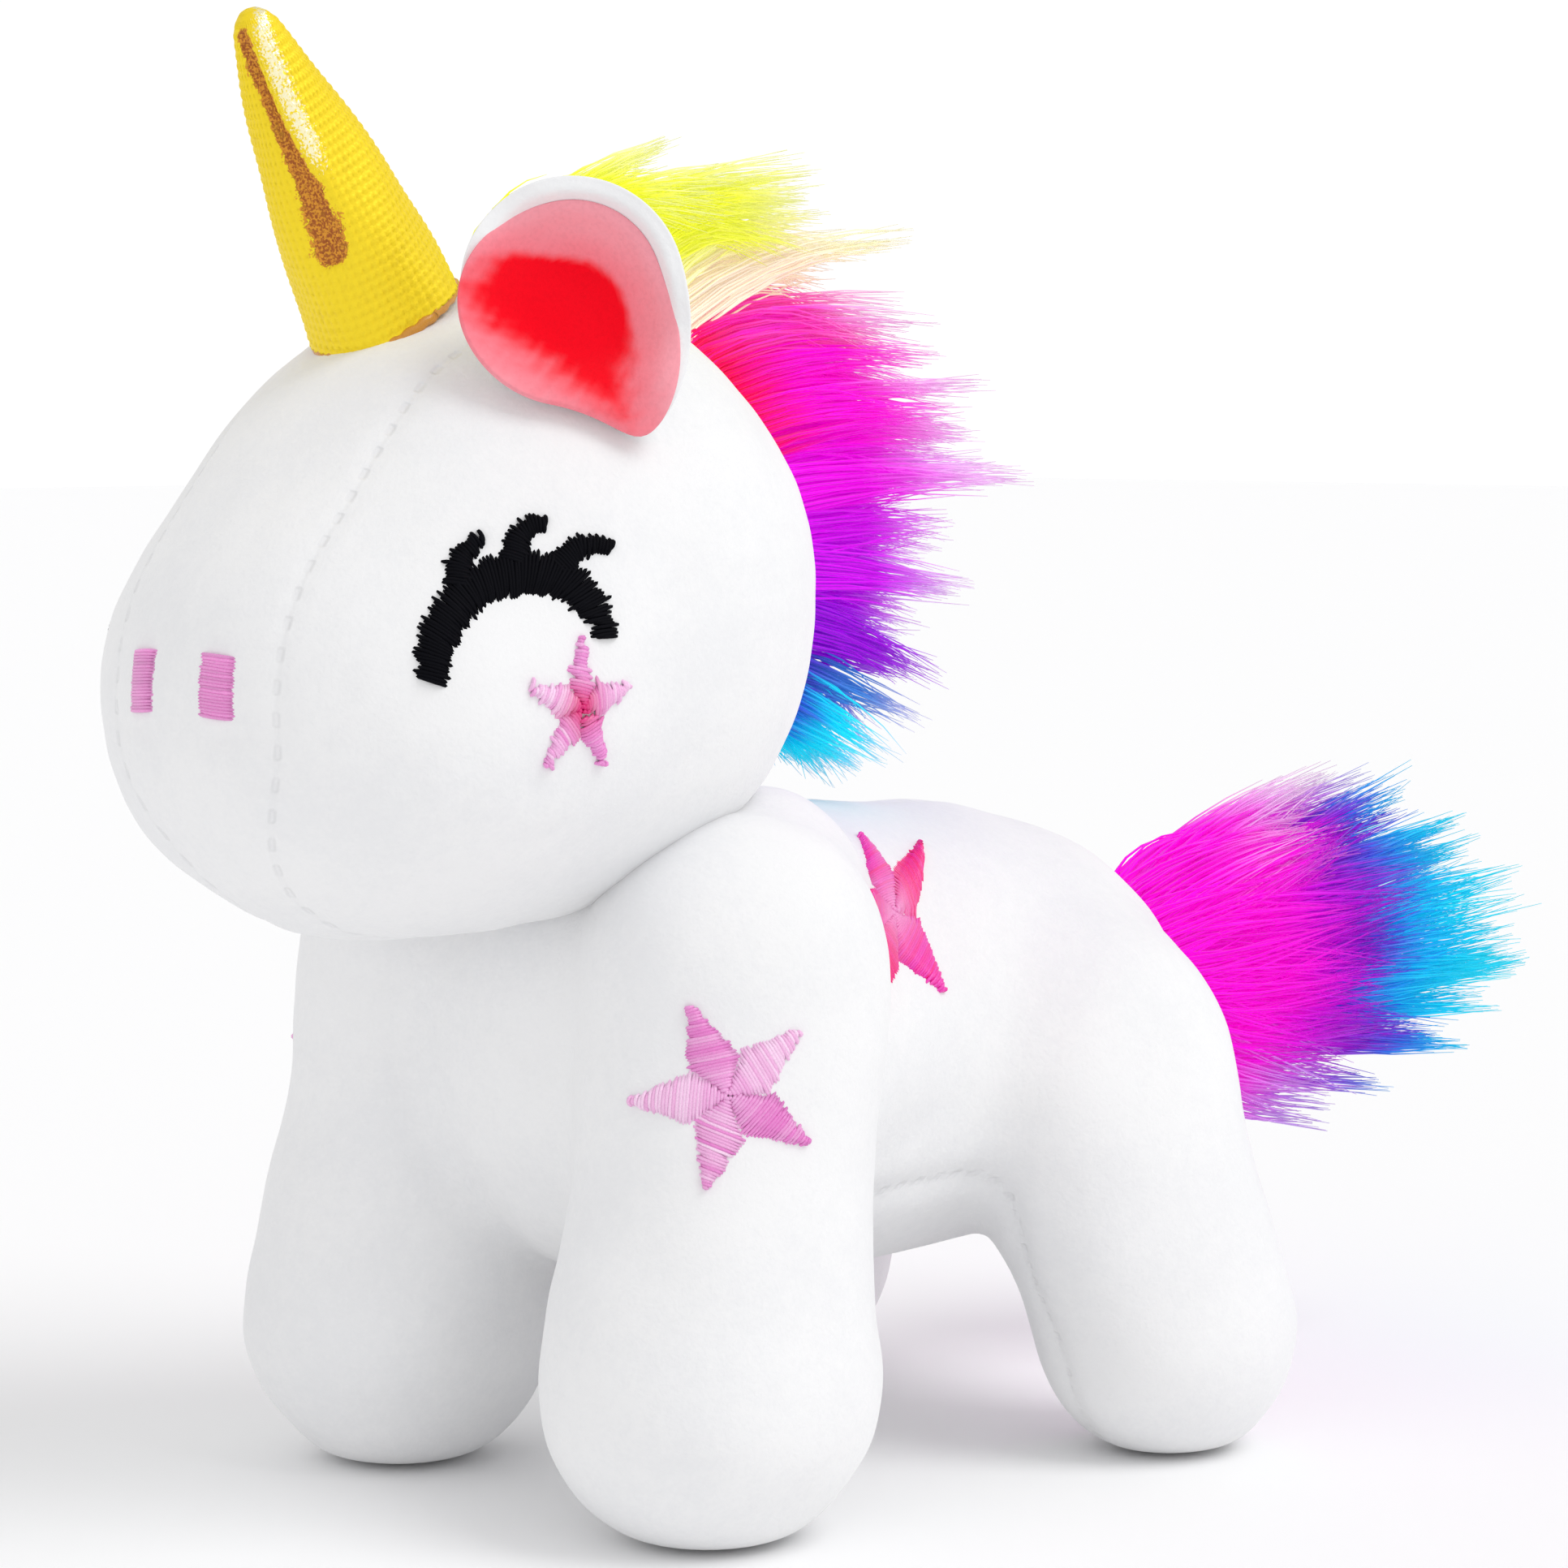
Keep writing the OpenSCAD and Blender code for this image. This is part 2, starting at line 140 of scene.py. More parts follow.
@dataclass
class Surface:
    """Points and faces of one piece, in millimetres, with what varies over its points."""

    points: Array
    faces: list
    values: dict[str, Array] = field(default_factory=dict)

    def make(self, name: str) -> bpy.types.Object:
        """Make a smoothly shaded Blender object of the surface.

        Args:
            name: The piece's name.

        Returns:
            The new object, in the part's frame.
        """
        mesh = bpy.data.meshes.new(name)
        mesh.from_pydata((self.points * MM).tolist(), [], self.faces)
        mesh.update()
        for key, value in self.values.items():
            self._store(mesh, key, value)
        mesh.polygons.foreach_set("use_smooth", np.full(len(mesh.polygons), True))
        obj = bpy.data.objects.new(name, mesh)
        bpy.context.scene.collection.objects.link(obj)
        return obj

    @staticmethod
    def _store(mesh: bpy.types.Mesh, key: str, value: Array) -> None:
        """Keep one value or colour per point on the mesh."""
        if value.ndim == 1:
            item = mesh.attributes.new(key, "FLOAT", "POINT")
            item.data.foreach_set("value", value.astype(np.float32))
            return
        rgba = np.ones((len(value), 4), np.float32)
        rgba[:, :3] = value
        item = mesh.attributes.new(key, "FLOAT_COLOR", "POINT")
        item.data.foreach_set("color", rgba.ravel())

    def normals(self) -> Array:
        """Vertex normals, pointing out of the faces."""
        out = np.zeros_like(self.points)
        for size in (3, 4):
            ring = np.array([f for f in self.faces if len(f) == size], int)
            if not len(ring):
                continue
            a, b, c, d = (self.points[ring[:, min(i, size - 1)]] for i in range(4))
            face = np.cross(b - a, c - a) if size == 3 else np.cross(c - a, d - b)
            for i in range(size):
                np.add.at(out, ring[:, i], face)
        return unit(out)

    def tree(self) -> BVHTree:
        """A tree for casting rays onto the surface."""
        return BVHTree.FromPolygons(self.points.tolist(), self.faces)


def join(parts: Iterable[Surface]) -> Surface:
    """One surface made of several, with the values they share."""
    parts = list(parts)
    faces: list = []
    start = 0
    for part in parts:
        faces += [tuple(i + start for i in f) for f in part.faces]
        start += len(part.points)
    values = {k: np.concatenate([p.values[k] for p in parts]) for k in parts[0].values}
    return Surface(np.concatenate([p.points for p in parts]), faces, values)


def ring_faces(rings: int, sides: int) -> list:
    """Quads between closed rings of points that follow one another."""
    faces = []
    for a in range(sides):
        b = (a + 1) % sides
        for low in range(0, (rings - 1) * sides, sides):
            faces.append((low + a, low + b, low + sides + b, low + sides + a))
    return faces


def tubes(
    paths: Array,
    radii: Array,
    sides: int,
    colours: Array | None = None,
) -> Surface:
    """Closed round threads or hairs along many paths at once.

    Args:
        paths: Points, indexed by path, step and axis.
        radii: Radius at each step of each path, or of all of them.
        sides: Number of sides of a thread.
        colours: Colour at each step of each path.

    Returns:
        One surface holding all the threads.
    """
    count, steps = paths.shape[:2]
    along = unit(np.gradient(paths, axis=1))
    chord = unit(paths[:, -1:] - paths[:, :1] + 1e-6)
    helper = np.where(np.abs(chord[..., 2:]) < 0.7, [[[0.0, 0.0, 1.0]]], [[[0.31, 0.95, 0.0]]])
    u = unit(np.cross(along, helper))
    v = np.cross(along, u)
    angle = np.arange(sides) * 2.0 * math.pi / sides
    radii = np.broadcast_to(radii, (count, steps))[..., None, None]
    ring = (
        paths[:, :, None]
        + radii * np.cos(angle)[None, None, :, None] * u[:, :, None]
        + radii * np.sin(angle)[None, None, :, None] * v[:, :, None]
    )
    points = ring.reshape(-1, 3)
    base = np.arange(count)[:, None, None] * steps * sides
    step = np.arange(steps - 1)[None, :, None] * sides
    side = np.arange(sides)[None, None, :]
    turn = (side + 1) % sides
    quads = np.stack(
        [base + step + side, base + step + sides + side, base + step + sides + turn, base + step + turn],
        axis=-1,
    ).reshape(-1, 4)
    start = (base[:, 0] + np.arange(sides)).tolist()
    end = (base[:, 0] + (steps - 1) * sides + np.arange(sides)[::-1]).tolist()
    faces = [tuple(q) for q in quads[:, ::-1].tolist()]
    faces += [tuple(f) for f in start]
    faces += [tuple(f) for f in end]
    surface = Surface(points, faces)
    if colours is not None:
        surface.values["tint"] = np.repeat(colours.reshape(-1, 3), sides, axis=0)
    return surface


# ------------------------------------------------------------------ soft forms


@dataclass(frozen=True)
class Lobe:
    """An egg of stuffing: its centre and its half sizes, in millimetres."""

    centre: tuple[float, float, float]
    radii: tuple[float, float, float]

    def distance(self, p: Array) -> Array:
        """Rough distance of points to the egg's skin, negative inside."""
        q = (p - np.array(self.centre)) / np.array(self.radii)
        near = np.linalg.norm(q, axis=1)
        slope = np.linalg.norm(q / np.array(self.radii), axis=1)
        return near * (near - 1.0) / np.maximum(slope, 1e-9)

    def towards(self, other: "Lobe", t: float) -> "Lobe":
        """The egg a share t of the way to another one."""
        mix = [
            tuple(a * (1.0 - t) + b * t for a, b in zip(x, y))
            for x, y in ((self.centre, other.centre), (self.radii, other.radii))
        ]
        return Lobe(*mix)


@dataclass(frozen=True)
class SoftForm:
    """Eggs joined into one stuffed shape.

    Attributes:
        chains: Groups of eggs; each egg of a group is joined to the next one.
        fillet: Width over which two groups melt together.
        links: Eggs put between two eggs of a group.
        link_fillet: Width over which the eggs of a group melt together.
        sole_fillet: Width over which the skin rounds off at the floor.
    """

    chains: tuple[tuple[Lobe, ...], ...]
    fillet: float = 5.0
    links: int = 5
    link_fillet: float = 1.2
    sole_fillet: float = 1.6

    def eggs(self) -> list[list[Lobe]]:
        """All the eggs, group by group, with those in between."""
        groups = []
        for chain in self.chains:
            group = [chain[0]]
            for a, b in zip(chain, chain[1:]):
                group += [a.towards(b, (i + 1) / self.links) for i in range(self.links)]
            groups.append(group)
        return groups

    def distance(self, p: Array) -> Array:
        """Rough distance of points to the shape's skin, negative inside."""
        total = None
        for group in self.eggs():
            near = None
            for egg in group:
                d = egg.distance(p)
                near = d if near is None else smooth_min(near, d, self.link_fillet)
            total = near if total is None else smooth_min(total, near, self.fillet)
        return smooth_max(total, -p[:, 2], self.sole_fillet)

    def settle(self, p: Array, rounds: int) -> Array:
        """Move points onto the shape's skin."""
        step = 0.05
        for _ in range(rounds):
            d = self.distance(p)
            slope = np.stack(
                [
                    (self.distance(p + step * axis) - self.distance(p - step * axis)) / (2.0 * step)
                    for axis in np.eye(3)
                ],
                axis=1,
            )
            size = np.maximum((slope**2).sum(axis=1), 0.15)
            p = p - np.clip(d / size, -2.0, 2.0)[:, None] * slope
        return p


def ball(subdivisions: int) -> Surface:
    """A ball of even triangles with radius one."""
    bm = bmesh.new()
    bmesh.ops.create_icosphere(bm, subdivisions=subdivisions, radius=1.0)
    points = np.array([v.co[:] for v in bm.verts])
    faces = [tuple(v.index for v in f.verts) for f in bm.faces]
    bm.free()
    return Surface(unit(points), faces)


def neighbours_mean(points: Array, edges: Array) -> Array:
    """The mean of each point's neighbours along the edges."""
    total = np.zeros_like(points)
    count = np.zeros(len(points))
    for a, b in ((0, 1), (1, 0)):
        np.add.at(total, edges[:, a], points[edges[:, b]])
        np.add.at(count, edges[:, a], 1.0)
    return total / np.maximum(count, 1.0)[:, None]


def remeshed(form: SoftForm, voxel: float, passes: int) -> Surface:
    """Skin a soft form with an even mesh.

    Args:
        form: The shape to skin.
        voxel: Size of the mesh's cells, in millimetres.
        passes: Rounds of smoothing along the skin.

    Returns:
        The skin as a closed surface.
    """
    seed = ball(4)
    parts = [
        Surface(seed.points * np.array(egg.radii) + np.array(egg.centre), seed.faces)
        for group in form.eggs()
        for egg in group
    ]
    rough = join(parts)
    obj = rough.make("rough_form")
    remesh = obj.modifiers.new("cells", "REMESH")
    remesh.mode = "VOXEL"
    remesh.voxel_size = voxel * MM
    graph = bpy.context.evaluated_depsgraph_get()
    mesh = bpy.data.meshes.new_from_object(obj.evaluated_get(graph))
    points = np.empty(len(mesh.vertices) * 3)
    mesh.vertices.foreach_get("co", points)
    points = points.reshape(-1, 3) / MM
    edges = np.empty(len(mesh.edges) * 2, int)
    mesh.edges.foreach_get("vertices", edges)
    edges = edges.reshape(-1, 2)
    faces = [tuple(p.vertices) for p in mesh.polygons]
    bpy.data.objects.remove(obj)
    bpy.data.meshes.remove(mesh)
    points = form.settle(points, 4)
    for _ in range(passes):
        points += 0.6 * (neighbours_mean(points, edges) - points)
        points = form.settle(points, 1)
    return Surface(form.settle(points, 1), faces)


# ------------------------------------------------------------------ shader writing


class Value:
    """A shader socket that takes part in Python sums."""

    def __init__(self, shader: "Shader", socket: bpy.types.NodeSocket) -> None:
        """Wrap a socket of a shader."""
        self.shader = shader
        self.socket = socket

    def _math(self, operation: str, *others: "Value | float") -> "Value":
        """A Math node fed with this value and others."""
        inputs = dict(enumerate(others))
        return self.shader.node("ShaderNodeMath", {"operation": operation}, inputs)

    def __add__(self, other: "Value | float") -> "Value":
        """Sum."""
        return self._math("ADD", self, other)

    __radd__ = __add__

    def __mul__(self, other: "Value | float") -> "Value":
        """Product."""
        return self._math("MULTIPLY", self, other)

    __rmul__ = __mul__

    def __sub__(self, other: "Value | float") -> "Value":
        """Difference."""
        return self._math("SUBTRACT", self, other)

    def __rsub__(self, other: "Value | float") -> "Value":
        """Difference from a number."""
        return self._math("SUBTRACT", other, self)

    def sine(self) -> "Value":
        """Sine."""
        return self._math("SINE", self)

    def size(self) -> "Value":
        """Absolute value."""
        return self._math("ABSOLUTE", self)

    def over(self, low: float, high: float) -> "Value":
        """Zero below low, one above high, eased in between."""
        settings = {"interpolation_type": "SMOOTHSTEP"}
        inputs = {"Value": self, "From Min": low, "From Max": high}
        return self.shader.node("ShaderNodeMapRange", settings, inputs)


class Shader:
    """A material under construction."""

    def __init__(self, name: str) -> None:
        """Start a material with a Principled surface."""
        self.material = bpy.data.materials.new(name)
        self.material.use_nodes = True
        self.tree = self.material.node_tree
        self.skin = self.tree.nodes["Principled BSDF"]

    def node(
        self,
        kind: str,
        settings: dict | None = None,
        inputs: dict | None = None,
        output: int | str = 0,
    ) -> Value:
        """Add a node.

        Args:
            kind: The node's type.
            settings: Its settings, made before its sockets are filled.
            inputs: Numbers, colours or values for its sockets.
            output: Which of its outputs is handed back.

        Returns:
            The chosen output.
        """
        made = self.tree.nodes.new(kind)
        for key, setting in (settings or {}).items():
            setattr(made, key, setting)
        for key, given in (inputs or {}).items():
            self._feed(made.inputs[key], given)
        return Value(self, made.outputs[output])

    def _feed(self, socket: bpy.types.NodeSocket, given: object) -> None:
        """Put a number, a colour or another node's output into a socket."""
        if isinstance(given, Value):
            self.tree.links.new(given.socket, socket)
        elif isinstance(given, tuple) and len(given) == 3 and socket.type == "RGBA":
            socket.default_value = (*given, 1.0)
        else:
            socket.default_value = given

    def set(self, **sockets: object) -> None:
        """Fill sockets of the Principled surface, named with underscores."""
        for key, given in sockets.items():
            self._feed(self.skin.inputs[key.replace("_", " ")], given)

    def scaled(self, vector: Value, scale: float) -> Value:
        """A vector or colour times a number."""
        return self.node("ShaderNodeVectorMath", {"operation": "SCALE"}, {0: vector, "Scale": scale})

    def noise(self, size: float, octaves: float = 2.0) -> Value:
        """Noise with lumps of about that many millimetres."""
        where = self.scaled(self.node("ShaderNodeTexCoord", output="Object"), 1.0 / MM)
        inputs = {"Vector": where, "Scale": 1.0 / size, "Detail": octaves}
        return self.node("ShaderNodeTexNoise", None, inputs)

    def blend(self, share: Value | float, low: object, high: object) -> Value:
        """Mix of two colours."""
        inputs = {0: share, 6: low, 7: high}
        return self.node("ShaderNodeMix", {"data_type": "RGBA"}, inputs, output=2)

    def attribute(self, name: str, colour: bool = False) -> Value:
        """What the mesh keeps under that name."""
        output = "Color" if colour else "Fac"
        return self.node("ShaderNodeAttribute", {"attribute_name": name}, output=output)

    def bump(self, height: Value, distance: float, strength: float = 1.0) -> Value:
        """Normals for a height that spans that many millimetres."""
        inputs = {"Height": height, "Distance": distance * MM, "Strength": strength}
        return self.node("ShaderNodeBump", None, inputs)


# ------------------------------------------------------------------ finishes


@dataclass(frozen=True)
class Plush:
    """Short-pile plush with a soft sheen and, where the mesh keeps one, a sewn seam greyed with painted
    shade.
    """

    name: str
    colour: Colour = (0.865, 0.865, 0.872)
    shade: Colour = (0.825, 0.828, 0.842)
    seam_shadow_grey: Colour = (0.62, 0.62, 0.65)
    pile: float = 0.42
    tufts: float = 1.5
    drift: float = 14.0
    seams: bool = False

    def make(self) -> bpy.types.Material:
        """Build the material."""
        s = Shader(self.name)
        pile = s.noise(self.pile, 3.0)
        tufts = s.noise(self.tufts, 2.0)
        drift = s.noise(self.drift, 1.0)
        height = pile * 0.6 + tufts * 0.4
        tone = tufts * 0.25 + drift * 0.5 + pile * 0.25
        colour = s.blend(tone.over(0.35, 0.62), self.shade, self.colour)
        if self.seams:
            gap = s.attribute("seam_gap").size()
            run = s.attribute("seam_run")
            groove = 1.0 - gap.over(0.0, 0.4)
            dash = (run * (2.0 * math.pi / SEAM_STITCH)).sine().over(-0.2, 0.6)
            stitch = dash * (1.0 - gap.over(0.1, 0.5))
            height = height - groove * 0.5 - stitch * 1.1
            # Painted shade: the seam's groove and stitch dimples are greyed in the base colour.
            seam_shade = groove * 0.04 + stitch * 0.1
            colour = s.blend(seam_shade, colour, self.seam_shadow_grey)
        s.set(
            Base_Color=colour,
            Roughness=0.92,
            Specular_IOR_Level=0.2,
            Sheen_Weight=0.35,
            Sheen_Roughness=0.45,
            Normal=s.bump(height, 0.14, 0.6),
        )
        return s.material


@dataclass(frozen=True)
class Tinted:
    """Thread, hair or lining whose colour the mesh keeps point by point, and which may glow in its own tint
    as painted light.
    """

    name: str
    roughness: float = 0.5
    sheen: float = 0.0
    grain: float = 0.25
    relief: float = 0.05
    gloss: float = 0.5
    depth: float = 0.88
    glow: float = 0.0

    def make(self) -> bpy.types.Material:
        """Build the material."""
        s = Shader(self.name)
        grain = s.noise(self.grain, 2.0)
        tint = s.attribute("tint", colour=True)
        s.set(
            Base_Color=s.blend(grain.over(0.3, 0.6), s.scaled(tint, self.depth), tint),
            Roughness=self.roughness,
            Specular_IOR_Level=self.gloss,
            Sheen_Weight=self.sheen,
            Normal=s.bump(grain, self.relief, 0.6),
        )
        # Painted light: where glow is set, the surface shines in its own tint to brighten it against its
        # self-shadowing.
        if self.glow:
            s.set(Emission_Color=tint, Emission_Strength=self.glow)
        return s.material


@dataclass(frozen=True)
class FoilKnit:
    """Foil-coated knit: bright gold, with a painted dark copper reflection along a fold, painted glints on
    its loops and patches of painted shade.
    """

    name: str
    gold: Colour = (0.93, 0.70, 0.008)
    shadow: Colour = (0.62, 0.40, 0.004)
    copper: Colour = (0.36, 0.09, 0.008)
    amber: Colour = (0.72, 0.30, 0.02)
    sparkle: Colour = (1.0, 0.93, 0.62)
    patches: float = 1.1
    loops: float = 0.22

    def make(self) -> bpy.types.Material:
        """Build the material."""
        s = Shader(self.name)
        fold = s.attribute("fold")
        spark = s.attribute("spark")
        patch = s.noise(self.patches, 3.0)
        fine = s.noise(self.loops, 2.0)
        # Painted reflection: a dark copper-to-amber streak along the fold, standing in for dark surroundings
        # mirrored in the foil.
        painted_reflection = (fold + (patch - 0.5) * 0.8 + (fine - 0.5) * 0.7).over(0.42, 0.52)
        reflection_tint = s.blend(fine.over(0.42, 0.6), self.copper, self.amber)
        colour = s.blend(painted_reflection, self.gold, reflection_tint)
        # Painted glints: the sparkle colour is mixed into the base colour where the spark mask and fine
        # noise are high.
        glint = (spark * 0.8 + (fine - 0.5) * 1.6).over(0.5, 0.8)
        # Painted shade: patches away from the glints are darkened towards the shadow colour.
        painted_shade = (spark * -0.5 + (patch - 0.5) * 1.8).over(0.1, 0.6)
        colour = s.blend(painted_shade * 0.35, colour, self.shadow)
        colour = s.blend(glint, colour, self.sparkle)
        s.set(
            Base_Color=colour,
            Metallic=0.35 + glint * 0.5,
            Roughness=0.5 - glint * 0.2,
            Normal=s.bump(fine, 0.06, 0.9),
        )
        return s.material


@dataclass(frozen=True)
class Fibre:
    """Loose stuffing."""

    name: str
    shade: Colour = (0.72, 0.72, 0.7)
    pale: Colour = (0.9, 0.9, 0.88)
    tufts: float = 0.6

    def make(self) -> bpy.types.Material:
        """Build the material."""
        s = Shader(self.name)
        wisps = s.noise(self.tufts, 4.0)
        colour = s.blend(wisps.over(0.3, 0.7), self.shade, self.pale)
        s.set(Base_Color=colour, Roughness=0.95, Normal=s.bump(wisps, 0.4, 1.0))
        return s.material


@dataclass(frozen=True)
class Studio:
    """Plain pale paper."""

    name: str
    colour: Colour = (0.965, 0.965, 0.97)

    def make(self) -> bpy.types.Material:
        """Build the material."""
        s = Shader(self.name)
        s.set(Base_Color=self.colour, Roughness=0.9, Specular_IOR_Level=0.1)
        return s.material


class Skin(Enum):
    """The finishes of the toy."""

    PLUSH = Plush("white_plush", seams=True)
    EAR_PLUSH = Plush("white_ear_plush")
    LINING = Tinted(
        "pink_lining", roughness=0.95, sheen=0.15, grain=0.4, relief=0.1, gloss=0.1, depth=0.95
    )
    THREAD = Tinted("satin_thread", roughness=0.32, grain=0.12, relief=0.03, gloss=0.6)
    BLACK_THREAD = Tinted("black_thread", roughness=0.6, grain=0.12, relief=0.03, gloss=0.04)
    HAIR = Tinted(
        "long_pile",
        roughness=0.75,
        sheen=0.1,
        grain=0.3,
        relief=0.02,
        gloss=0.12,
        depth=0.95,
        glow=0.22,
    )
    FOIL = FoilKnit("foil_knit")
    FIBRE = Fibre("stuffing_fibre")
    PAPER = Studio("studio_paper")

    def material(self) -> bpy.types.Material:
        """The finish's material, made once."""
        made = bpy.data.materials.get(self.value.name)
        return made or self.value.make()


def dress(obj: bpy.types.Object, skin: Skin) -> bpy.types.Object:
    """Give an object a finish."""
    obj.data.materials.clear()
    obj.data.materials.append(skin.material())
    return obj


def finish_piece(
    piece: bpy.types.Object,
    nodes: Iterable[str],
    body: str | None = None,
) -> None:
    """Tie a finished piece to the part and log it.

    Args:
        piece: The piece.
        nodes: The CAD solids that it stands for.
        body: The body that it rides on, if any.
    """
    if body:
        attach(piece, body)
    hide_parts(*nodes)
    LOG.info("%s: %d points, %d faces", piece.name, len(piece.data.vertices), len(piece.data.polygons))


# ------------------------------------------------------------------ shared sizes

SKULL = Lobe((0.0, -43.0, 79.5), (27.5, 27.5, 27.5))
MUZZLE = Lobe((0.0, -59.0, 71.8), (25.5, 18.5, 20.0))
FRONT_HINGE = (20.0, -34.0, 44.6)
REAR_HINGE = (18.0, 12.0, 34.0)
SIDES = {"left": 1.0, "right": -1.0}


def mirrored(lobe: Lobe, side: float) -> Lobe:
    """An egg on the left or right side."""
    x, y, z = lobe.centre
    return Lobe((x * side, y, z), lobe.radii)


# ------------------------------------------------------------------ embroidery


@dataclass(frozen=True)
class Hoop:
    """A place on the fabric where something is embroidered.

    Attributes:
        tree: The fabric's surface.
        centre: A point close to the fabric, in millimetres.
        forward: Angle that the hoop is turned towards the toy's front, in degrees.
        up: Angle that it is tilted up, in degrees.
        side: 1 for the toy's left, -1 for its right.
        above: How far over the hoop the fabric is looked for.
        search: How far down it is looked for from there.
    """

    tree: BVHTree
    centre: tuple[float, float, float]
    forward: float
    up: float
    side: float
    above: float = 14.0
    search: float = 40.0

    def axes(self) -> tuple[Array, Array, Array]:
        """The hoop's right, up and outward directions on the toy's left side."""
        f, u = math.radians(self.forward), math.radians(self.up)
        out = np.array([math.cos(f) * math.cos(u), -math.sin(f) * math.cos(u), math.sin(u)])
        right = np.array([math.sin(f), math.cos(f), 0.0])
        return right, np.cross(out, right), out

    def lay(self, flat: Array, lift: Array) -> Array:
        """Press flat points onto the fabric.

        Args:
            flat: Points on the hoop, in millimetres.
            lift: Height of each over the fabric.

        Returns:
            The points in the part's frame.
        """
        right, up, out = self.axes()
        flip = np.array([self.side, 1.0, 1.0])
        shape = flat.shape[:-1]
        laid = []
        for (u, v), h in zip(flat.reshape(-1, 2), np.broadcast_to(lift, shape).ravel()):
            start = (np.array(self.centre) + u * right + v * up + self.above * out) * flip
            hit, normal, _, _ = self.tree.ray_cast(Vector(start), Vector(-out * flip), self.search)
            if hit is None:
                hit, normal, _, _ = self.tree.find_nearest(Vector(start))
            laid.append(np.array(hit) + h * np.array(normal))
        return np.array(laid).reshape(*shape, 3)


@dataclass
class Stitches:
    """Satin stitches gathered for one embroidered shape."""

    thread: float = 0.2
    steps: int = 6
    sunk: float = 0.12
    starts: list = field(default_factory=list)
    ends: list = field(default_factory=list)
    tints: list = field(default_factory=list)

    def add(self, start: Array, end: Array, tint: Colour) -> None:
        """Add one stitch between two flat points."""
        self.starts.append(start)
        self.ends.append(end)
        self.tints.append(tint)

    def sewn(self, hoop: Hoop, bulge: float) -> Surface:
        """Sew the stitches onto the fabric.

        Args:
            hoop: Where they go.
            bulge: How high the middle of a stitch stands over the fabric.

        Returns:
            The threads as one surface.
        """
        t = np.linspace(0.0, 1.0, self.steps)
        a, b = np.array(self.starts), np.array(self.ends)
        flat = a[:, None] * (1.0 - t)[None, :, None] + b[:, None] * t[None, :, None]
        arch = bulge * (1.0 - (2.0 * t - 1.0) ** 4) - self.sunk
        paths = hoop.lay(flat, np.broadcast_to(arch, flat.shape[:2]))
        tint = np.repeat(np.array(self.tints)[:, None], self.steps, axis=1)
        return tubes(paths, self.thread * (0.75 + 0.25 * np.sin(math.pi * t)), 5, tint)


def satin_band(
    stitches: Stitches,
    line: Array,
    half: Array,
    tint: Colour,
    rng: np.random.Generator,
    ragged: float,
    lean: float = 0.0,
) -> None:
    """Fill a band with stitches across it.

    Args:
        stitches: Where the stitches are gathered.
        line: The band's middle line, as flat points.
        half: Its half width at each of them.
        tint: Colour of the thread.
        rng: Source of unevenness.
        ragged: How uneven the edge is, in millimetres.
        lean: Slant of the stitches along the band, in millimetres.
    """
    length = np.r_[0.0, np.cumsum(np.linalg.norm(np.diff(line, axis=0), axis=1))]
    pitch = stitches.thread * STITCH_PITCH
    for at in np.arange(0.0, length[-1], pitch):
        middle, ahead, behind = (
            np.array([np.interp(at + step, length, line[:, i]) for i in (0, 1)])
            for step in (0.0, 0.3, -0.3)
        )
        along = unit(ahead - behind)
        across = np.array([-along[1], along[0]])
        w = float(np.interp(at, length, half))
        jitter = rng.normal(scale=ragged, size=2)
        shade = 1.0 + rng.normal(scale=0.06)
        stitches.add(
            middle + across * (w + jitter[0]) + along * lean,
            middle - across * (w + jitter[1]) - along * lean,
            tuple(np.clip(np.array(tint) * shade, 0.0, 1.0)),
        )


def curve(points: Sequence[tuple[float, float]], count: int = 60) -> Array:
    """A smooth flat line through a few points."""
    p = np.array(points)
    t = np.linspace(0.0, len(p) - 1.0, count)
    i = np.clip(t.astype(int), 0, len(p) - 2)
    f = (t - i)[:, None]
    grid = [p[np.clip(i + k, 0, len(p) - 1)] for k in (-1, 0, 1, 2)]
    return 0.5 * (
        2.0 * grid[1]
        + (grid[2] - grid[0]) * f
        + (2.0 * grid[0] - 5.0 * grid[1] + 4.0 * grid[2] - grid[3]) * f**2
        + (3.0 * grid[1] - grid[0] - 3.0 * grid[2] + grid[3]) * f**3
    )


@dataclass
class SleepingEye:
    """A closed, smiling eye with three lashes, in black satin stitch."""

    black: Colour = (0.004, 0.004, 0.006)
    arc: tuple = ((-7.9, -5.3), (-7.3, -2.0), (-4.4, 1.9), (-0.2, 3.3), (3.3, 2.7), (5.7, 0.6), (7.1, -1.9))
    arc_half: tuple = (1.15, 1.5, 1.75, 1.9, 1.85, 1.45, 0.95)
    lashes: tuple = (
        ((-5.0, 2.4), (-4.6, 4.6), (-2.7, 6.6)),
        ((-0.4, 4.2), (0.4, 6.6), (2.6, 7.6)),
        ((3.2, 3.6), (5.0, 5.3), (8.0, 5.6)),
    )
    lash_half: tuple = (1.25, 1.0, 0.45)

    def sew(self, hoop: Hoop, seed: int) -> Surface:
        """Sew the eye."""
        rng = np.random.default_rng(seed)
        stitches = Stitches(thread=0.2, steps=7)
        line = curve(self.arc)
        half = np.interp(np.linspace(0, 1, len(line)), np.linspace(0, 1, len(self.arc_half)), self.arc_half)
        satin_band(stitches, line, half, self.black, rng, 0.16, 0.35)
        for lash in self.lashes:
            line = curve(lash, 20)
            half = np.interp(np.linspace(0, 1, 20), (0.0, 0.5, 1.0), self.lash_half)
            satin_band(stitches, line, half, self.black, rng, 0.14, 0.2)
        return stitches.sewn(hoop, 0.42)


